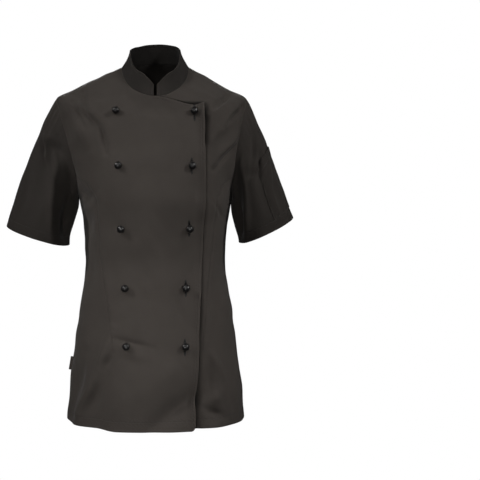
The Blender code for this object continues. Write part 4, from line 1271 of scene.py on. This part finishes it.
def tab_grid():
    """A tape round a fold: out on one side, half round, and back on the other, from the seam at -X."""
    levels = np.linspace(0, UNDERARM, LEVEL_SAMPLES)
    ends = level_of(np.array([TAB_TOP_Z, TAB_BOTTOM_Z]), levels, np.full_like(levels, -90))
    top, bottom = form(np.full(2, -90.0), ends)
    up = unit(bottom - top)
    reach = unit(np.cross(up, np.cross([-1.0, 0, 0], up)))
    side = np.cross(up, reach)
    half = TAB_CLOTH + TAB_GAP / 2
    turn = np.linspace(-math.pi / 2, math.pi / 2, TAB_COLUMNS + 1 - 2 * TAB_SIDE)
    straight = np.linspace(0, 1, TAB_SIDE + 1)[:-1] * (TAB_REACH - half)
    out_by = np.concatenate([straight, TAB_REACH - half + half * np.cos(turn), straight[::-1]])
    aside = np.concatenate([np.full(TAB_SIDE, -half), half * np.sin(turn), np.full(TAB_SIDE, half)])
    profile = out_by[:, None] * reach + aside[:, None] * side
    run = np.linspace(0, 1, TAB_ROWS + 1)[:, None, None]
    points = mix(top, bottom, run) + profile
    out = unit(np.cross(np.gradient(profile, axis=0), up))
    out *= np.sign(out[len(out) // 2] @ reach)
    return new_grid(points, np.broadcast_to(out, points.shape))


tab = tab_grid()
tab_cut = cut_size(tab, all_kept(tab))
pieces["side_label"] = shell("side_tab_tape", *all_edges(tab), TAB_CLOTH)
print("tab cut:", np.round(tab_cut, 4))

# %% Stitches of the fronts and the back
lap_side = outer_front[: LAP_TOP_ROW + 1, LAP_EDGE::-1]
lap_head = outer_front[LAP_TOP_ROW::-1, CENTRE : LAP_EDGE - 1]
front_stitches = stitch_rows(
    "right_front_stitches",
    [
        side_line(lap_side, LAP_STITCH),
        hem_line(lap_head, LAP_STITCH),
        hem_line(outer_front[:, : LAP_EDGE - 1], HEM_STITCH),
    ],
)
left_stitches = stitch_rows("left_front_stitches", [hem_line(front[:, CENTRE - LAP_COLUMNS :], HEM_STITCH)])
back_stitches = stitch_rows("back_stitches", [hem_line(back, HEM_STITCH)])

# %% Stitches of the sleeves, the collar and the pocket
CUFF_STITCH, COLLAR_STITCH = 18, 5
COLLAR_SKIP, COLLAR_TOP_SKIP = 8, 4  # columns and rows left out, so that no two rows cross at a corner
sleeve_stitches = {
    name: stitch_rows(name + "_stitches", [hem_line(grid[::-1], CUFF_STITCH)])
    for name, grid in sleeve_grids.items()
}
collar_ends = collar[:-COLLAR_TOP_SKIP]
collar_stitches = stitch_rows(
    "collar_stitches",
    [
        hem_line(collar[::-1, COLLAR_SKIP:-COLLAR_SKIP], COLLAR_STITCH),
        side_line(collar_ends, COLLAR_STITCH),
        side_line(collar_ends[:, ::-1], COLLAR_STITCH),
    ],
)
pocket_middle = pocket[:, round(POCKET_DIVIDE * (pocket.shape[1] - 1))]
pocket_stitches = stitch_rows(
    "pen_pocket_stitches",
    [
        side_line(pocket, POCKET_STITCH),
        side_line(pocket[:, ::-1], POCKET_STITCH),
        hem_line(pocket[::-1], POCKET_STITCH),
        hem_line(pocket, POCKET_HEM),
        pocket_middle[:, SURFACE],
    ],
)

# %% [markdown]
# ## Studs and buttonholes
#
# A ball stud is turned plastic: a ball, a shank through the cloth and a cap behind it. It is drawn as a
# profile and spun. The five studs beside the lap's edge push through buttonholes. Each buttonhole is a slit
# in a lens of close satin stitches, made as a tube round an ellipse that follows the cloth.
#
# A stud's place is known as x and z, but the form is a function of angle and level. Newton's method finds
# the two: it follows the form's slopes towards the wanted place, a few times over.
# %% Find a place on the front
NEWTON_PASSES, ANGLE_NUDGE, LEVEL_NUDGE = 6, 0.05, 0.001


def on_front(x, z):
    """The angle and level at which the form's front has these x and z, by Newton's method."""
    x, z = np.asarray(x, float), np.asarray(z, float)
    level = level_of(z, SAMPLED_LEVELS, np.zeros_like(SAMPLED_LEVELS))
    angle = angle_at(x, level)
    for _ in range(NEWTON_PASSES):
        here = form(angle, level)
        turn = (form(angle + ANGLE_NUDGE, level) - here) / ANGLE_NUDGE
        rise = (form(angle, level + LEVEL_NUDGE) - here) / LEVEL_NUDGE
        miss_x, miss_z = x - here[..., 0], z - here[..., 2]
        area = turn[..., 0] * rise[..., 2] - turn[..., 2] * rise[..., 0]
        angle = angle + (miss_x * rise[..., 2] - miss_z * rise[..., 0]) / area
        level = level + (miss_z * turn[..., 0] - miss_x * turn[..., 2]) / area
    return angle, level


stud_x, stud_z = np.array(STUD_PLACES).T
stud_spots = on_front(stud_x, stud_z)
stud_points, stud_outs = form(*stud_spots), normals(form, *stud_spots)
print("largest miss in mm:", np.abs(stud_points[:, [0, 2]] - STUD_PLACES).max().round(6))

# %% A stud's profile
STUD_RADIUS, STUD_HALF_HEIGHT = 7.25, 6.5
STUD_BASE = CLOTH + PLY_GAP + 0.5  # the ball's lowest point, half a millimetre off the cloth
STUD_SHANK = 2.0
STUD_CAP, STUD_CAP_TOP, STUD_CAP_BOTTOM, STUD_CAP_ROUND = 5.5, -2.7, -4.2, 0.5
STUD_SIDES, STUD_RINGS = 48, 26


def stud_profile():
    """Radius and height from the ball's top to the cap's bottom."""
    end = math.pi - math.asin(STUD_SHANK / STUD_RADIUS)
    turn = np.linspace(0, end, STUD_RINGS)
    middle = STUD_BASE + STUD_HALF_HEIGHT
    ball = np.column_stack([STUD_RADIUS * np.sin(turn), middle + STUD_HALF_HEIGHT * np.cos(turn)])
    edge = STUD_CAP - STUD_CAP_ROUND
    cap = [
        (STUD_SHANK, STUD_CAP_TOP),
        (edge, STUD_CAP_TOP),
        (STUD_CAP, STUD_CAP_TOP - STUD_CAP_ROUND),
        (STUD_CAP, STUD_CAP_BOTTOM + STUD_CAP_ROUND),
        (edge, STUD_CAP_BOTTOM),
        (0, STUD_CAP_BOTTOM),
    ]
    return np.vstack([ball, cap])


print("points of a stud's profile:", len(stud_profile()))


# %% Spin the studs
def new_stud(name, point, out):
    """The profile at STUD_SIDES angles round the direction out of the cloth."""
    profile = stud_profile()
    turn = np.linspace(0, 2 * math.pi, STUD_SIDES + 1)
    turn[-1] = 0
    sideways = unit(np.cross([0, 1.0, 0], out))
    upward = np.cross(out, sideways)
    round_axis = np.cos(turn)[:, None] * sideways + np.sin(turn)[:, None] * upward
    points = point + profile[:, None, :1] * round_axis + profile[:, None, 1:] * out
    faces = cell_triangles(all_kept(points))[:, ::-1]
    stud = new_piece(name, points.reshape(-1, 3), faces, points.reshape(-1, 3)[:, [0, 2]])
    body = bmesh.new()  # a spun shape can come out inside out
    body.from_mesh(stud.data)
    bmesh.ops.recalc_face_normals(body, faces=body.faces)
    body.to_mesh(stud.data)
    body.free()
    return stud


stud_names = [f"stud_{letter}{number}" for letter in "rl" for number in range(1, 6)]
studs = [
    new_stud(name + "_ball", point, out) for name, point, out in zip(stud_names, stud_points, stud_outs)
]
print("stud triangles:", len(studs[0].data.polygons))

# %% Buttonholes
HOLE_HALF_LENGTH, HOLE_HALF_WIDTH = 15.5, 2.1
LIP_RADIUS, LIP_HEIGHT = 0.95, 0.5
LIP_STEPS, LIP_SIDES = 64, 8


def lifted_front(x, z, lift):
    """Points over the front's outer ply by this lift, and the directions out of it."""
    spots = on_front(x, z)
    out = normals(form, *spots)
    return form(*spots) + (CLOTH + PLY_GAP + lift) * out, out


def buttonhole(name, x, z):
    """A tube round the ellipse x + w sin t, z + l cos t, flatter than it is wide."""
    turn = np.linspace(0, 2 * math.pi, LIP_STEPS, endpoint=False)
    points, out = lifted_front(x + HOLE_HALF_WIDTH * np.sin(turn), z + HOLE_HALF_LENGTH * np.cos(turn), 0)
    along = unit(np.roll(points, -1, axis=0) - np.roll(points, 1, axis=0))
    sideways = unit(np.cross(out, along))
    across = np.linspace(0, 2 * math.pi, LIP_SIDES, endpoint=False)[:, None, None]
    grid = points + LIP_RADIUS * np.cos(across) * sideways + LIP_HEIGHT * np.sin(across) * out
    places = np.stack(np.broadcast_arrays(lengths_round(points), LIP_RADIUS * across[..., 0]), -1)
    wrapped = np.pad(grid, ((0, 1), (0, 1), (0, 0)), mode="wrap")
    places = np.pad(places, ((0, 1), (0, 1), (0, 0)), mode="edge")
    faces = cell_triangles(all_kept(wrapped))[:, ::-1]
    return new_piece(name, wrapped.reshape(-1, 3), faces, places.reshape(-1, 2))


print("points of a buttonhole's lip:", LIP_STEPS * LIP_SIDES)

# %% Slits
SLIT_HALF_WIDTH, SLIT_ROWS = 1.2, 16
SLIT_BLUNT = 0.01  # keeps some width at the slit's ends
SLIT_LIFT, SLIT_CLOTH = 0.12, 0.2


def slit(name, x, z):
    """The opening's painted shadow: a thin dark lens just above the lap, of half width w sqrt(1 - t^2) along
    it.
    """
    run = np.linspace(-1, 1, SLIT_ROWS + 1)[:, None]
    side = np.array([-1.0, 0, 1])
    width = SLIT_HALF_WIDTH * np.sqrt(np.maximum(1 - run**2, SLIT_BLUNT))
    places = np.broadcast_arrays(x + side * width, z + run * HOLE_HALF_LENGTH)
    grid = new_grid(*lifted_front(*places, SLIT_LIFT), 1)
    return shell(name, grid, all_kept(grid), SLIT_CLOTH)


holes = []
slits = []
for number, (x, z) in enumerate(STUD_PLACES[len(STUD_LEVELS_Z) :], 1):
    holes.append(buttonhole(f"buttonhole_{number}", x, z))
    slits.append(slit(f"buttonhole_slit_{number}", x, z))
print("triangles of a buttonhole and its slit:", *(len(made[0].data.polygons) for made in (holes, slits)))

# %% [markdown]
# ## Materials
#
# The cloth is a twill: slanted ribs less than a millimetre apart, each broken where threads cross. It is
# described on the flat cloth's own millimetres, so that the weave runs with each cut piece and bends where
# the piece bends. A slow noise clouds the dye, a fine one makes the yarn uneven, and the ribs, the pressed
# stitch lines and the small puckers of the seams are one height that a Bump node turns into slopes. An image
# of cloth would be quicker, but it repeats, and it has no say in where a seam or a hem is pressed.
#
# The sleeves and the collar are darker than the body by a painted shade, and paler again by painted light at
# the sleeve's head and beside the collar's slit. The reverse is darker, partly as its weft is and partly by a
# painted shade.
#
# The nodes are written as formulas. A small class wraps a socket, and + - * and / on it add Math nodes.
# %% A number that a node gives
class Value:
    """An output socket on which +, -, * and / add Math nodes, so that a formula reads as one."""

    def __init__(self, tree, socket):
        self.tree, self.socket = tree, socket

    def math(self, operation, *others):
        return add_node(self.tree, "ShaderNodeMath", {"operation": operation}, 0, self, *others)

    def __add__(self, other):
        return self.math("ADD", other)

    def __sub__(self, other):
        return self.math("SUBTRACT", other)

    def __mul__(self, other):
        return self.math("MULTIPLY", other)

    def __truediv__(self, other):
        return self.math("DIVIDE", other)

    def __rsub__(self, other):
        return self * -1 + other

    __radd__ = __add__
    __rmul__ = __mul__


print("a Value's methods:", [name for name in vars(Value) if callable(getattr(Value, name))])


# %% Adding and filling nodes
def set_socket(socket, value):
    """Links a Value to a socket, or sets the socket to a number or a colour."""
    if isinstance(value, Value):
        socket.id_data.links.new(value.socket, socket)
    else:
        socket.default_value = value


def set_inputs(node, **values):
    """Sets or links inputs by name, with _ for a space."""
    for key, value in values.items():
        set_socket(node.inputs[key.replace("_", " ")], value)


def add_node(tree, kind, settings, output, *inputs, **named):
    """Adds a node, sets its settings, then its inputs in order and by name, and returns one output."""
    node = tree.nodes.new(kind)
    for key, value in settings.items():
        setattr(node, key, value)
    for socket, value in zip(node.inputs, inputs):
        set_socket(socket, value)
    set_inputs(node, **named)
    return Value(tree, node.outputs[output])


def new_material(name):
    """A material, its node tree and its Principled BSDF."""
    material = bpy.data.materials.new(name)
    material.use_nodes = True
    return material, material.node_tree, material.node_tree.nodes["Principled BSDF"]


trial, trial_tree, _ = new_material("trial")
trial_sum = add_node(trial_tree, "ShaderNodeNewGeometry", {}, "Pointiness") * 0.5 + 1
print("a small formula ends with", trial_sum.socket.node.operation, "in", len(trial_tree.nodes), "nodes")
bpy.data.materials.remove(trial)


# %% Patterns that the materials share
def bell(value, width):
    """exp(-(value / width)^2), a bump of this half width round 0."""
    share = value / width
    return (share * share * -1).math("EXPONENT")


def sine(value, wavelength):
    """sin(2 pi value / wavelength)."""
    return (value * (2 * math.pi / wavelength)).math("SINE")


def noise(tree, places, size, detail=2.0, roughness=0.5):
    """Smooth noise from about 0 to 1 whose grains are of this size, in the unit of the places."""
    grain = {"Scale": 1 / size, "Detail": detail, "Roughness": roughness}
    return add_node(tree, "ShaderNodeTexNoise", {"noise_dimensions": "3D"}, 0, Vector=places, **grain)


def flat_millimetres(tree):
    """The place on the flat cloth as two numbers in millimetres."""
    place = add_node(tree, "ShaderNodeUVMap", {"uv_map": "cloth"}, 0)
    return [add_node(tree, "ShaderNodeSeparateXYZ", {}, axis, place) / MM for axis in "XY"]


def object_places(tree):
    """The place on the piece itself, in metres."""
    return add_node(tree, "ShaderNodeTexCoord", {}, "Object")


def attribute(tree, name):
    """A number that the mesh carries at its points."""
    return add_node(tree, "ShaderNodeAttribute", {"attribute_name": name}, "Fac")


def bumped(tree, height, strength=1.0):
    """The directions out of a surface that is raised by a height in millimetres."""
    return add_node(tree, "ShaderNodeBump", {}, 0, Strength=strength, Distance=MM, Height=height)


def tinted(tree, colour, brightness):
    """A colour times a number that varies."""
    return add_node(tree, "ShaderNodeVectorMath", {"operation": "SCALE"}, 0, colour, Scale=brightness)


def unevenly_tinted(tree, colour, grain, swing):
    """A colour whose brightness swings by this much in all, round 1."""
    return tinted(tree, colour, grain * swing + (1 - swing / 2))


print("a bell at 0, 1 and 2 widths:", bell_curve(np.arange(3), 1).round(2))

# %% Sizes and shades of the twill
TWILL_COLOUR = np.array([0.0487, 0.0417, 0.0367])
SLEEVE_SHADE, COLLAR_SHADE = 0.66, 0.38  # painted shade: shares of the body's colour for darker copies of its twill
WALE, WALE_BREAK = 0.85, 1.3  # millimetres between ribs, and between the breaks along one
WALE_SLOPE = math.radians(58)
WALE_STAGGER = 0.5  # from one rib to the next, the breaks move on by this share of the step
BREAK_SHARE = 0.4  # how much of a rib's height a break takes away
WEAVE_HEIGHT, YARN_HEIGHT, CRINKLE_HEIGHT = 0.075, 0.035, 0.16
CRINKLE_SIZE, CRINKLE_GRAIN = 0.009, 0.55
PRESS_DEPTH, PRESS_WIDTH = 0.28, 0.8
SEAM_SHARE, SEAM_WIDTH = 1.8, 1.2  # a shaping seam is pressed deeper than a row of stitches
PUCKER_HEIGHT, PUCKER_LENGTH, PUCKER_REACH = 0.06, 8.5, 7.0
PUCKER_DRIFT, PUCKER_DRIFT_SIZE = 24, 0.02  # puckers wander by these millimetres, over these metres
PUCKER_AT_STITCHES = 0.7  # a row of stitches gathers the cloth less than a seam
WEAVE_SHADE, PRESS_SHADE, PLAIN_SHADE = 0.16, 0.12, 0.92  # ribs are paler, and pressed lines darker
REVERSE_SHADE = 0.42  # partly the darker weft of the reverse, partly a painted shade on the insides
CREVICE_SHADE, CREVICE_WIDTH = 0.78, 7.2  # painted shade beside the lap's edge and top, where little light gets in
RIM_FADE, RIM_FADE_WIDTH = 0.5, 0.9  # edges are rubbed paler
CLOUD_SIZE, CLOUD_SHARE = 0.045, 0.2
MELANGE_SIZE, MELANGE_SHARE = 0.7, 0.34
TWILL_DETAIL = 3.0  # each noise has this many finer layers
TWILL_ROUGHNESS, TWILL_ROUGHNESS_SWING, TWILL_SHEEN = 0.85, 0.1, 0.06

PaintedLight = namedtuple("PaintedLight", "axis middle width share")  # metres
SLEEVE_PAINTED_LIGHT = PaintedLight("Z", -0.055, 0.05, 0.45)  # painted light on a sleeve's head
COLLAR_PAINTED_LIGHT = PaintedLight("X", 0, 0.034, 0.5)  # painted light on the collar beside its slit
print("ribs in a centimetre:", round(10 / WALE))


# %% Twill cloth
def twill(name, shade, turned, painted_light=None):
    """The ribs run up the cloth, or across it where the piece is cut with its grain turned. A painted light,
    if given, makes it paler by share x exp(-((place - middle) / width)^2) along one axis."""
    material, tree, shader = new_material(name)
    u, v = flat_millimetres(tree)[:: -1 if turned else 1]
    object_place = object_places(tree)
    across = u * math.cos(WALE_SLOPE) + v * math.sin(WALE_SLOPE)
    along = v * math.cos(WALE_SLOPE) - u * math.sin(WALE_SLOPE)
    rib = sine(across, WALE) * 0.5 + 0.5
    crossing = sine(along + across * WALE_STAGGER, WALE_BREAK) * 0.5 + 0.5
    weave = rib * (crossing * BREAK_SHARE + (1 - BREAK_SHARE))

    keys = ("rim", "stitched", "hem", "seam", "crevice", "reverse")
    rim, stitched, hem, seam, crevice, reverse = (attribute(tree, key) for key in keys)
    pressed = bell(stitched - LAP_STITCH, PRESS_WIDTH) + bell(hem - HEM_STITCH, PRESS_WIDTH)
    pressed = pressed + bell(seam, SEAM_WIDTH) * SEAM_SHARE
    waves = sine(u + v + noise(tree, object_place, PUCKER_DRIFT_SIZE) * PUCKER_DRIFT, PUCKER_LENGTH)
    gathered = bell(rim, PUCKER_REACH) + bell(stitched - LAP_STITCH, PUCKER_REACH) * PUCKER_AT_STITCHES
    gathered = gathered + bell(hem - HEM_STITCH, PUCKER_REACH) + bell(seam, PUCKER_REACH)
    puckers = waves * gathered

    yarn = noise(tree, object_place, MELANGE_SIZE * MM, TWILL_DETAIL)
    crinkle = noise(tree, object_place, CRINKLE_SIZE, TWILL_DETAIL, CRINKLE_GRAIN)
    cloud = noise(tree, object_place, CLOUD_SIZE, TWILL_DETAIL)
    height = weave * WEAVE_HEIGHT + yarn * YARN_HEIGHT + crinkle * CRINKLE_HEIGHT
    height = height + puckers * PUCKER_HEIGHT - pressed * PRESS_DEPTH

    brightness = (cloud - 0.5) * CLOUD_SHARE + (yarn - 0.5) * MELANGE_SHARE
    brightness = brightness + weave * WEAVE_SHADE + PLAIN_SHADE
    brightness = brightness + bell(rim, RIM_FADE_WIDTH) * RIM_FADE - pressed * PRESS_SHADE
    # partly painted shade: insides of the collar, sleeves and hems are darkened
    brightness = brightness * (1 - reverse * (1 - REVERSE_SHADE))
    # painted shade: darker close to the lap's edge and top
    brightness = brightness * (1 - bell(crevice, CREVICE_WIDTH) * CREVICE_SHADE)
    # painted light: paler in a band along one axis, at a sleeve's head or beside the collar's slit
    if painted_light:
        place = add_node(tree, "ShaderNodeSeparateXYZ", {}, painted_light.axis, object_place)
        brightness = brightness * (bell(place - painted_light.middle, painted_light.width) * painted_light.share + 1)
    set_inputs(
        shader,
        Base_Color=tinted(tree, tuple(TWILL_COLOUR * shade), brightness),
        Roughness=TWILL_ROUGHNESS - (cloud - 0.5) * TWILL_ROUGHNESS_SWING,
        Normal=bumped(tree, height),
        Sheen_Weight=TWILL_SHEEN,
        Sheen_Roughness=0.45,
        Specular_IOR_Level=0.28,
    )
    return material


body_twill = twill("charcoal twill", 1, False)
# painted shade: the sleeves, the pocket and the collar get darker copies of the body's twill
sleeve_twill = twill("charcoal twill of the sleeves", SLEEVE_SHADE, False, SLEEVE_PAINTED_LIGHT)
collar_twill = twill("charcoal twill of the collar", COLLAR_SHADE, True, COLLAR_PAINTED_LIGHT)
print("cloth nodes:", len(body_twill.node_tree.nodes))

# %% [markdown]
# ## Thread, plastic and the dark of a slit
#
# Thread is the cloth's own stuff, finer and with a soft gloss, so it needs ridges and uneven dye but no
# weave. The studs are moulded and handled every day: smooth, nearly black, and rubbed in places, which shows
# only where a highlight breaks up. A slit is a gap, so its lens is a painted shadow, as dark and dull as a
# gap looks.
# %% Thread
THREAD_COLOUR = (0.05, 0.046, 0.043)
SATIN_COLOUR = (0.011, 0.0102, 0.0098)
THREAD_TWIST, SATIN_RIDGE = 0.5, 0.45  # millimetres from ridge to ridge
RIDGE_HEIGHT, RIDGE_SLANT = 0.06, 0.4
DYE_SWING, DYE_SIZE = 0.5, 0.004
THREAD_ROUGHNESS, THREAD_ROUGHNESS_SWING = 0.55, 0.15


def thread(name, colour, ridge):
    """Twisted or satin thread: ridges across the stitch, a soft gloss and uneven dye."""
    material, tree, shader = new_material(name)
    u, v = flat_millimetres(tree)
    height = sine(u + v * RIDGE_SLANT, ridge) * RIDGE_HEIGHT
    uneven = noise(tree, object_places(tree), DYE_SIZE)
    set_inputs(
        shader,
        Base_Color=unevenly_tinted(tree, colour, uneven, DYE_SWING),
        Roughness=THREAD_ROUGHNESS + uneven * THREAD_ROUGHNESS_SWING,
        Normal=bumped(tree, height, 0.8),
        Sheen_Weight=0.06,
        Specular_IOR_Level=0.3,
    )
    return material


seam_thread = thread("seam thread", THREAD_COLOUR, THREAD_TWIST)
satin_thread = thread("satin thread", SATIN_COLOUR, SATIN_RIDGE)
print("thread nodes:", len(seam_thread.node_tree.nodes))

# %% Plastic and the dark of a slit
STUD_COLOUR = (0.0085, 0.0082, 0.0085)
STUD_ROUGHNESS = 0.2
RUB_SIZE, RUB_DETAIL, RUB_GRAIN = 0.0025, 4.0, 0.65
RUB_HEIGHT, RUB_ROUGHNESS = 0.05, 0.22
HANDLED_SIZE, HANDLED_SWING = 0.012, 0.5  # broad patches where fingers take hold
HANDLED_ROUGHNESS, HANDLED_COAT = 0.12, 0.2
# painted shadow: a dark sheet stands in for the shade inside a slit
SLIT_SHADOW_COLOUR = (0.004, 0.004, 0.004)
SLIT_GRAIN, SLIT_SWING = 0.001, 1


def plastic(name, colour):
    """Moulded plastic: nearly black, glossy, with faint rub marks that only break up the highlight."""
    material, tree, shader = new_material(name)
    object_place = object_places(tree)
    rubbed = noise(tree, object_place, RUB_SIZE, RUB_DETAIL, RUB_GRAIN)
    handled = noise(tree, object_place, HANDLED_SIZE)
    set_inputs(
        shader,
        Base_Color=unevenly_tinted(tree, colour, handled, HANDLED_SWING),
        Roughness=rubbed * RUB_ROUGHNESS + handled * HANDLED_ROUGHNESS + STUD_ROUGHNESS,
        Coat_Weight=handled * HANDLED_COAT,
        Coat_Roughness=0.12,
        Normal=bumped(tree, rubbed * RUB_HEIGHT, 0.25),
    )
    return material


def dark(name, colour):
    """A painted shadow for the inside of a slit: no shine, slightly uneven."""
    material, tree, shader = new_material(name)
    grain = noise(tree, object_places(tree), SLIT_GRAIN)
    uneven = unevenly_tinted(tree, colour, grain, SLIT_SWING)
    set_inputs(shader, Base_Color=uneven, Roughness=0.95, Specular_IOR_Level=0.05)
    return material


stud_plastic = plastic("black stud plastic", STUD_COLOUR)
slit_dark = dark("slit shadow", SLIT_SHADOW_COLOUR)
print("plastic nodes:", len(stud_plastic.node_tree.nodes))

# %% [markdown]
# ## Pieces, their cuts and the bodies they ride on
#
# Each cloth piece replaces its plain solid. The size of its cut before sewing is worked out for each one.
# A sleeve is a tube, so its cut goes all the way round.
# %% What each piece is cut from, sewn with and made of
CUTS = {name: panel.cut for name, panel in panels.items()}
CUTS.update(sleeve_cuts, collar=collar_cut, pen_pocket=pocket_cut)
STITCHES = {
    "right_front": front_stitches,
    "left_front": left_stitches,
    "back": back_stitches,
    **sleeve_stitches,
    "collar": collar_stitches,
    "pen_pocket": pocket_stitches,
}
TWILLS = {
    "collar": collar_twill,
    "right_sleeve": sleeve_twill,
    "left_sleeve": sleeve_twill,
    "pen_pocket": sleeve_twill,
}
print("cloth pieces:", len(pieces), "with rows of stitches:", len(STITCHES))


# %% Give every piece its material and body
def finish_piece(piece, material):
    """Gives a piece its material and slot, and rides it on the jacket's one body."""
    piece.data.materials.append(material)
    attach(piece, "root")


for node, piece in pieces.items():
    finish_piece(piece, TWILLS.get(node, body_twill))
    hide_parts(node)
for sewn_on, material in ((STITCHES.values(), seam_thread), (holes, satin_thread), (slits, slit_dark)):
    for piece in sewn_on:
        finish_piece(piece, material)
for node, stud in zip(stud_names, studs):
    finish_piece(stud, stud_plastic)
    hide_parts(node)
for node, (width, length, area) in CUTS.items():
    [STITCHES[node]] + (holes + slits if node == "right_front" else [])
print("sheets:", len(CUTS) + 1)

# %% [markdown]
# ## Light, floor and camera
#
# Dark cloth shows its form only by the light that rakes over it. Tall narrow softboxes with a grid stand
# round the front. The grid, which is the light's spread, keeps each beam on the body, so the sleeves and the
# inside of the collar stay darker, as they do on a form in a studio. Two light the sides of the front, a
# weak one hangs high, one stands low for the skirt, and one lights the back. The white that the camera sees
# round the jacket is brighter than the light that the world gives, and the floor is paler to the camera than
# to the cloth, because a pale floor this near would throw light up under the hem.
# %% Softboxes
Softbox = namedtuple("Softbox", "name azimuth elevation aim_z beam power colour")
SOFTBOXES = (
    Softbox("left", -62, 36, -0.32, 0.3, 0.52, (1, 0.985, 0.965)),
    Softbox("right", 62, 32, -0.42, 0.3, 0.54, (1, 0.985, 0.965)),
    Softbox("high", -12, 45, -0.42, 0.3, 0.10, (1, 0.99, 0.975)),
    Softbox("low", -4, 2, -0.56, 0.24, 0.46, (1, 0.99, 0.975)),
    Softbox("back", 180, 25, -0.33, 0.35, 0.9, (1, 0.99, 0.98)),
)
LIGHT_DISTANCE, LIGHT_WIDTH, LIGHT_HEIGHT = 2.6, 0.3, 0.9
LIGHT_AIM_X = -0.02


def aimed(thing, place, aim):
    """Turns -Z of a camera or light from its place towards a point, with Y up."""
    ahead = unit(np.subtract(aim, place))
    sideways = unit(np.cross(ahead, [0, 0, 1.0]))
    upward = np.cross(sideways, ahead)
    turned = np.eye(4)
    turned[:3, :3] = np.stack([sideways, upward, -ahead], 1)
    turned[:3, 3] = place
    thing.matrix_world = turned.T.tolist()
    bpy.context.scene.collection.objects.link(thing)


def softbox_place(softbox):
    """Its place and aim: degrees right of the front and up from level, at one distance from the aim."""
    azimuth, elevation = math.radians(softbox.azimuth), math.radians(softbox.elevation)
    level = math.cos(elevation)
    away = np.array([level * math.sin(azimuth), -level * math.cos(azimuth), math.sin(elevation)])
    aim = np.array([LIGHT_AIM_X, 0, softbox.aim_z])
    return aim + LIGHT_DISTANCE * away, aim


for softbox in SOFTBOXES:
    light = bpy.data.lights.new(softbox.name, "AREA")
    light.shape, light.size, light.size_y = "RECTANGLE", LIGHT_WIDTH, LIGHT_HEIGHT
    light.spread = 2 * math.atan(softbox.beam / LIGHT_DISTANCE)
    light.energy, light.color = softbox.power, softbox.colour
    aimed(bpy.data.objects.new(softbox.name, light), *softbox_place(softbox))
print("watts of all softboxes:", round(sum(softbox.power for softbox in SOFTBOXES), 2))

# %% World
WORLD_SEEN, WORLD_LIGHT = 1.0, 0.016

world = bpy.data.worlds.new("white room")
bpy.context.scene.world = world
world.use_nodes = True
seen = add_node(world.node_tree, "ShaderNodeLightPath", {}, "Is Camera Ray")
strength = seen * (WORLD_SEEN - WORLD_LIGHT) + WORLD_LIGHT
set_inputs(world.node_tree.nodes["Background"], Color=(1, 1, 1, 1), Strength=strength)
print("light of the world:", WORLD_LIGHT)

# %% Camera
CAMERA_PLACE, CAMERA_AIM, CAMERA_LENS = (0, -3.2, -0.199), (0.1648, 0, -0.3354), 123

camera_data = bpy.data.cameras.new("camera")
camera_data.lens = CAMERA_LENS
camera = bpy.data.objects.new("camera", camera_data)
aimed(camera, CAMERA_PLACE, CAMERA_AIM)
bpy.context.scene.camera = camera
bpy.context.scene.view_settings.view_transform = "Standard"
print("metres from the camera to its aim:", round(math.dist(CAMERA_PLACE, CAMERA_AIM), 2))

# %% Floor
FLOOR_Z, FLOOR_RADIUS, FLOOR_SIDES = -1.4, 2.2, 64
FLOOR_GREY = (0.35, 0.35, 0.35)
FLOOR_CLOUD_SIZE, FLOOR_CLOUD_SWING = 0.4, 0.1
FLOOR_SEEN = 0.6  # the floor looks as pale as a lit one, but throws no light up at the cloth

floor_mesh = bpy.data.meshes.new("floor")
disc = bmesh.new()
bmesh.ops.create_circle(disc, cap_ends=True, segments=FLOOR_SIDES, radius=FLOOR_RADIUS)
disc.to_mesh(floor_mesh)
disc.free()
floor = bpy.data.objects.new("floor", floor_mesh)
floor.location.z = FLOOR_Z
bpy.context.scene.collection.objects.link(floor)
floor_material, floor_tree, floor_shader = new_material("pale floor")
floor_cloud = noise(floor_tree, object_places(floor_tree), FLOOR_CLOUD_SIZE)
floor_tint = unevenly_tinted(floor_tree, FLOOR_GREY, floor_cloud, FLOOR_CLOUD_SWING)
floor_seen = add_node(floor_tree, "ShaderNodeLightPath", {}, "Is Camera Ray") * FLOOR_SEEN
floor_glow = tinted(floor_tree, (1, 1, 1), floor_seen)
set_inputs(floor_shader, Base_Color=floor_tint, Roughness=0.9)
set_inputs(floor_shader, Emission_Color=floor_glow, Emission_Strength=1.0)
floor_mesh.materials.append(floor_material)
print("floor at", FLOOR_Z, "m")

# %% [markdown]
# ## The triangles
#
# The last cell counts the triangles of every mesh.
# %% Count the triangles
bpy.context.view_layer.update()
triangles = sum(len(piece.data.polygons) for piece in bpy.data.objects if piece.type == "MESH")
print("triangles:", triangles)
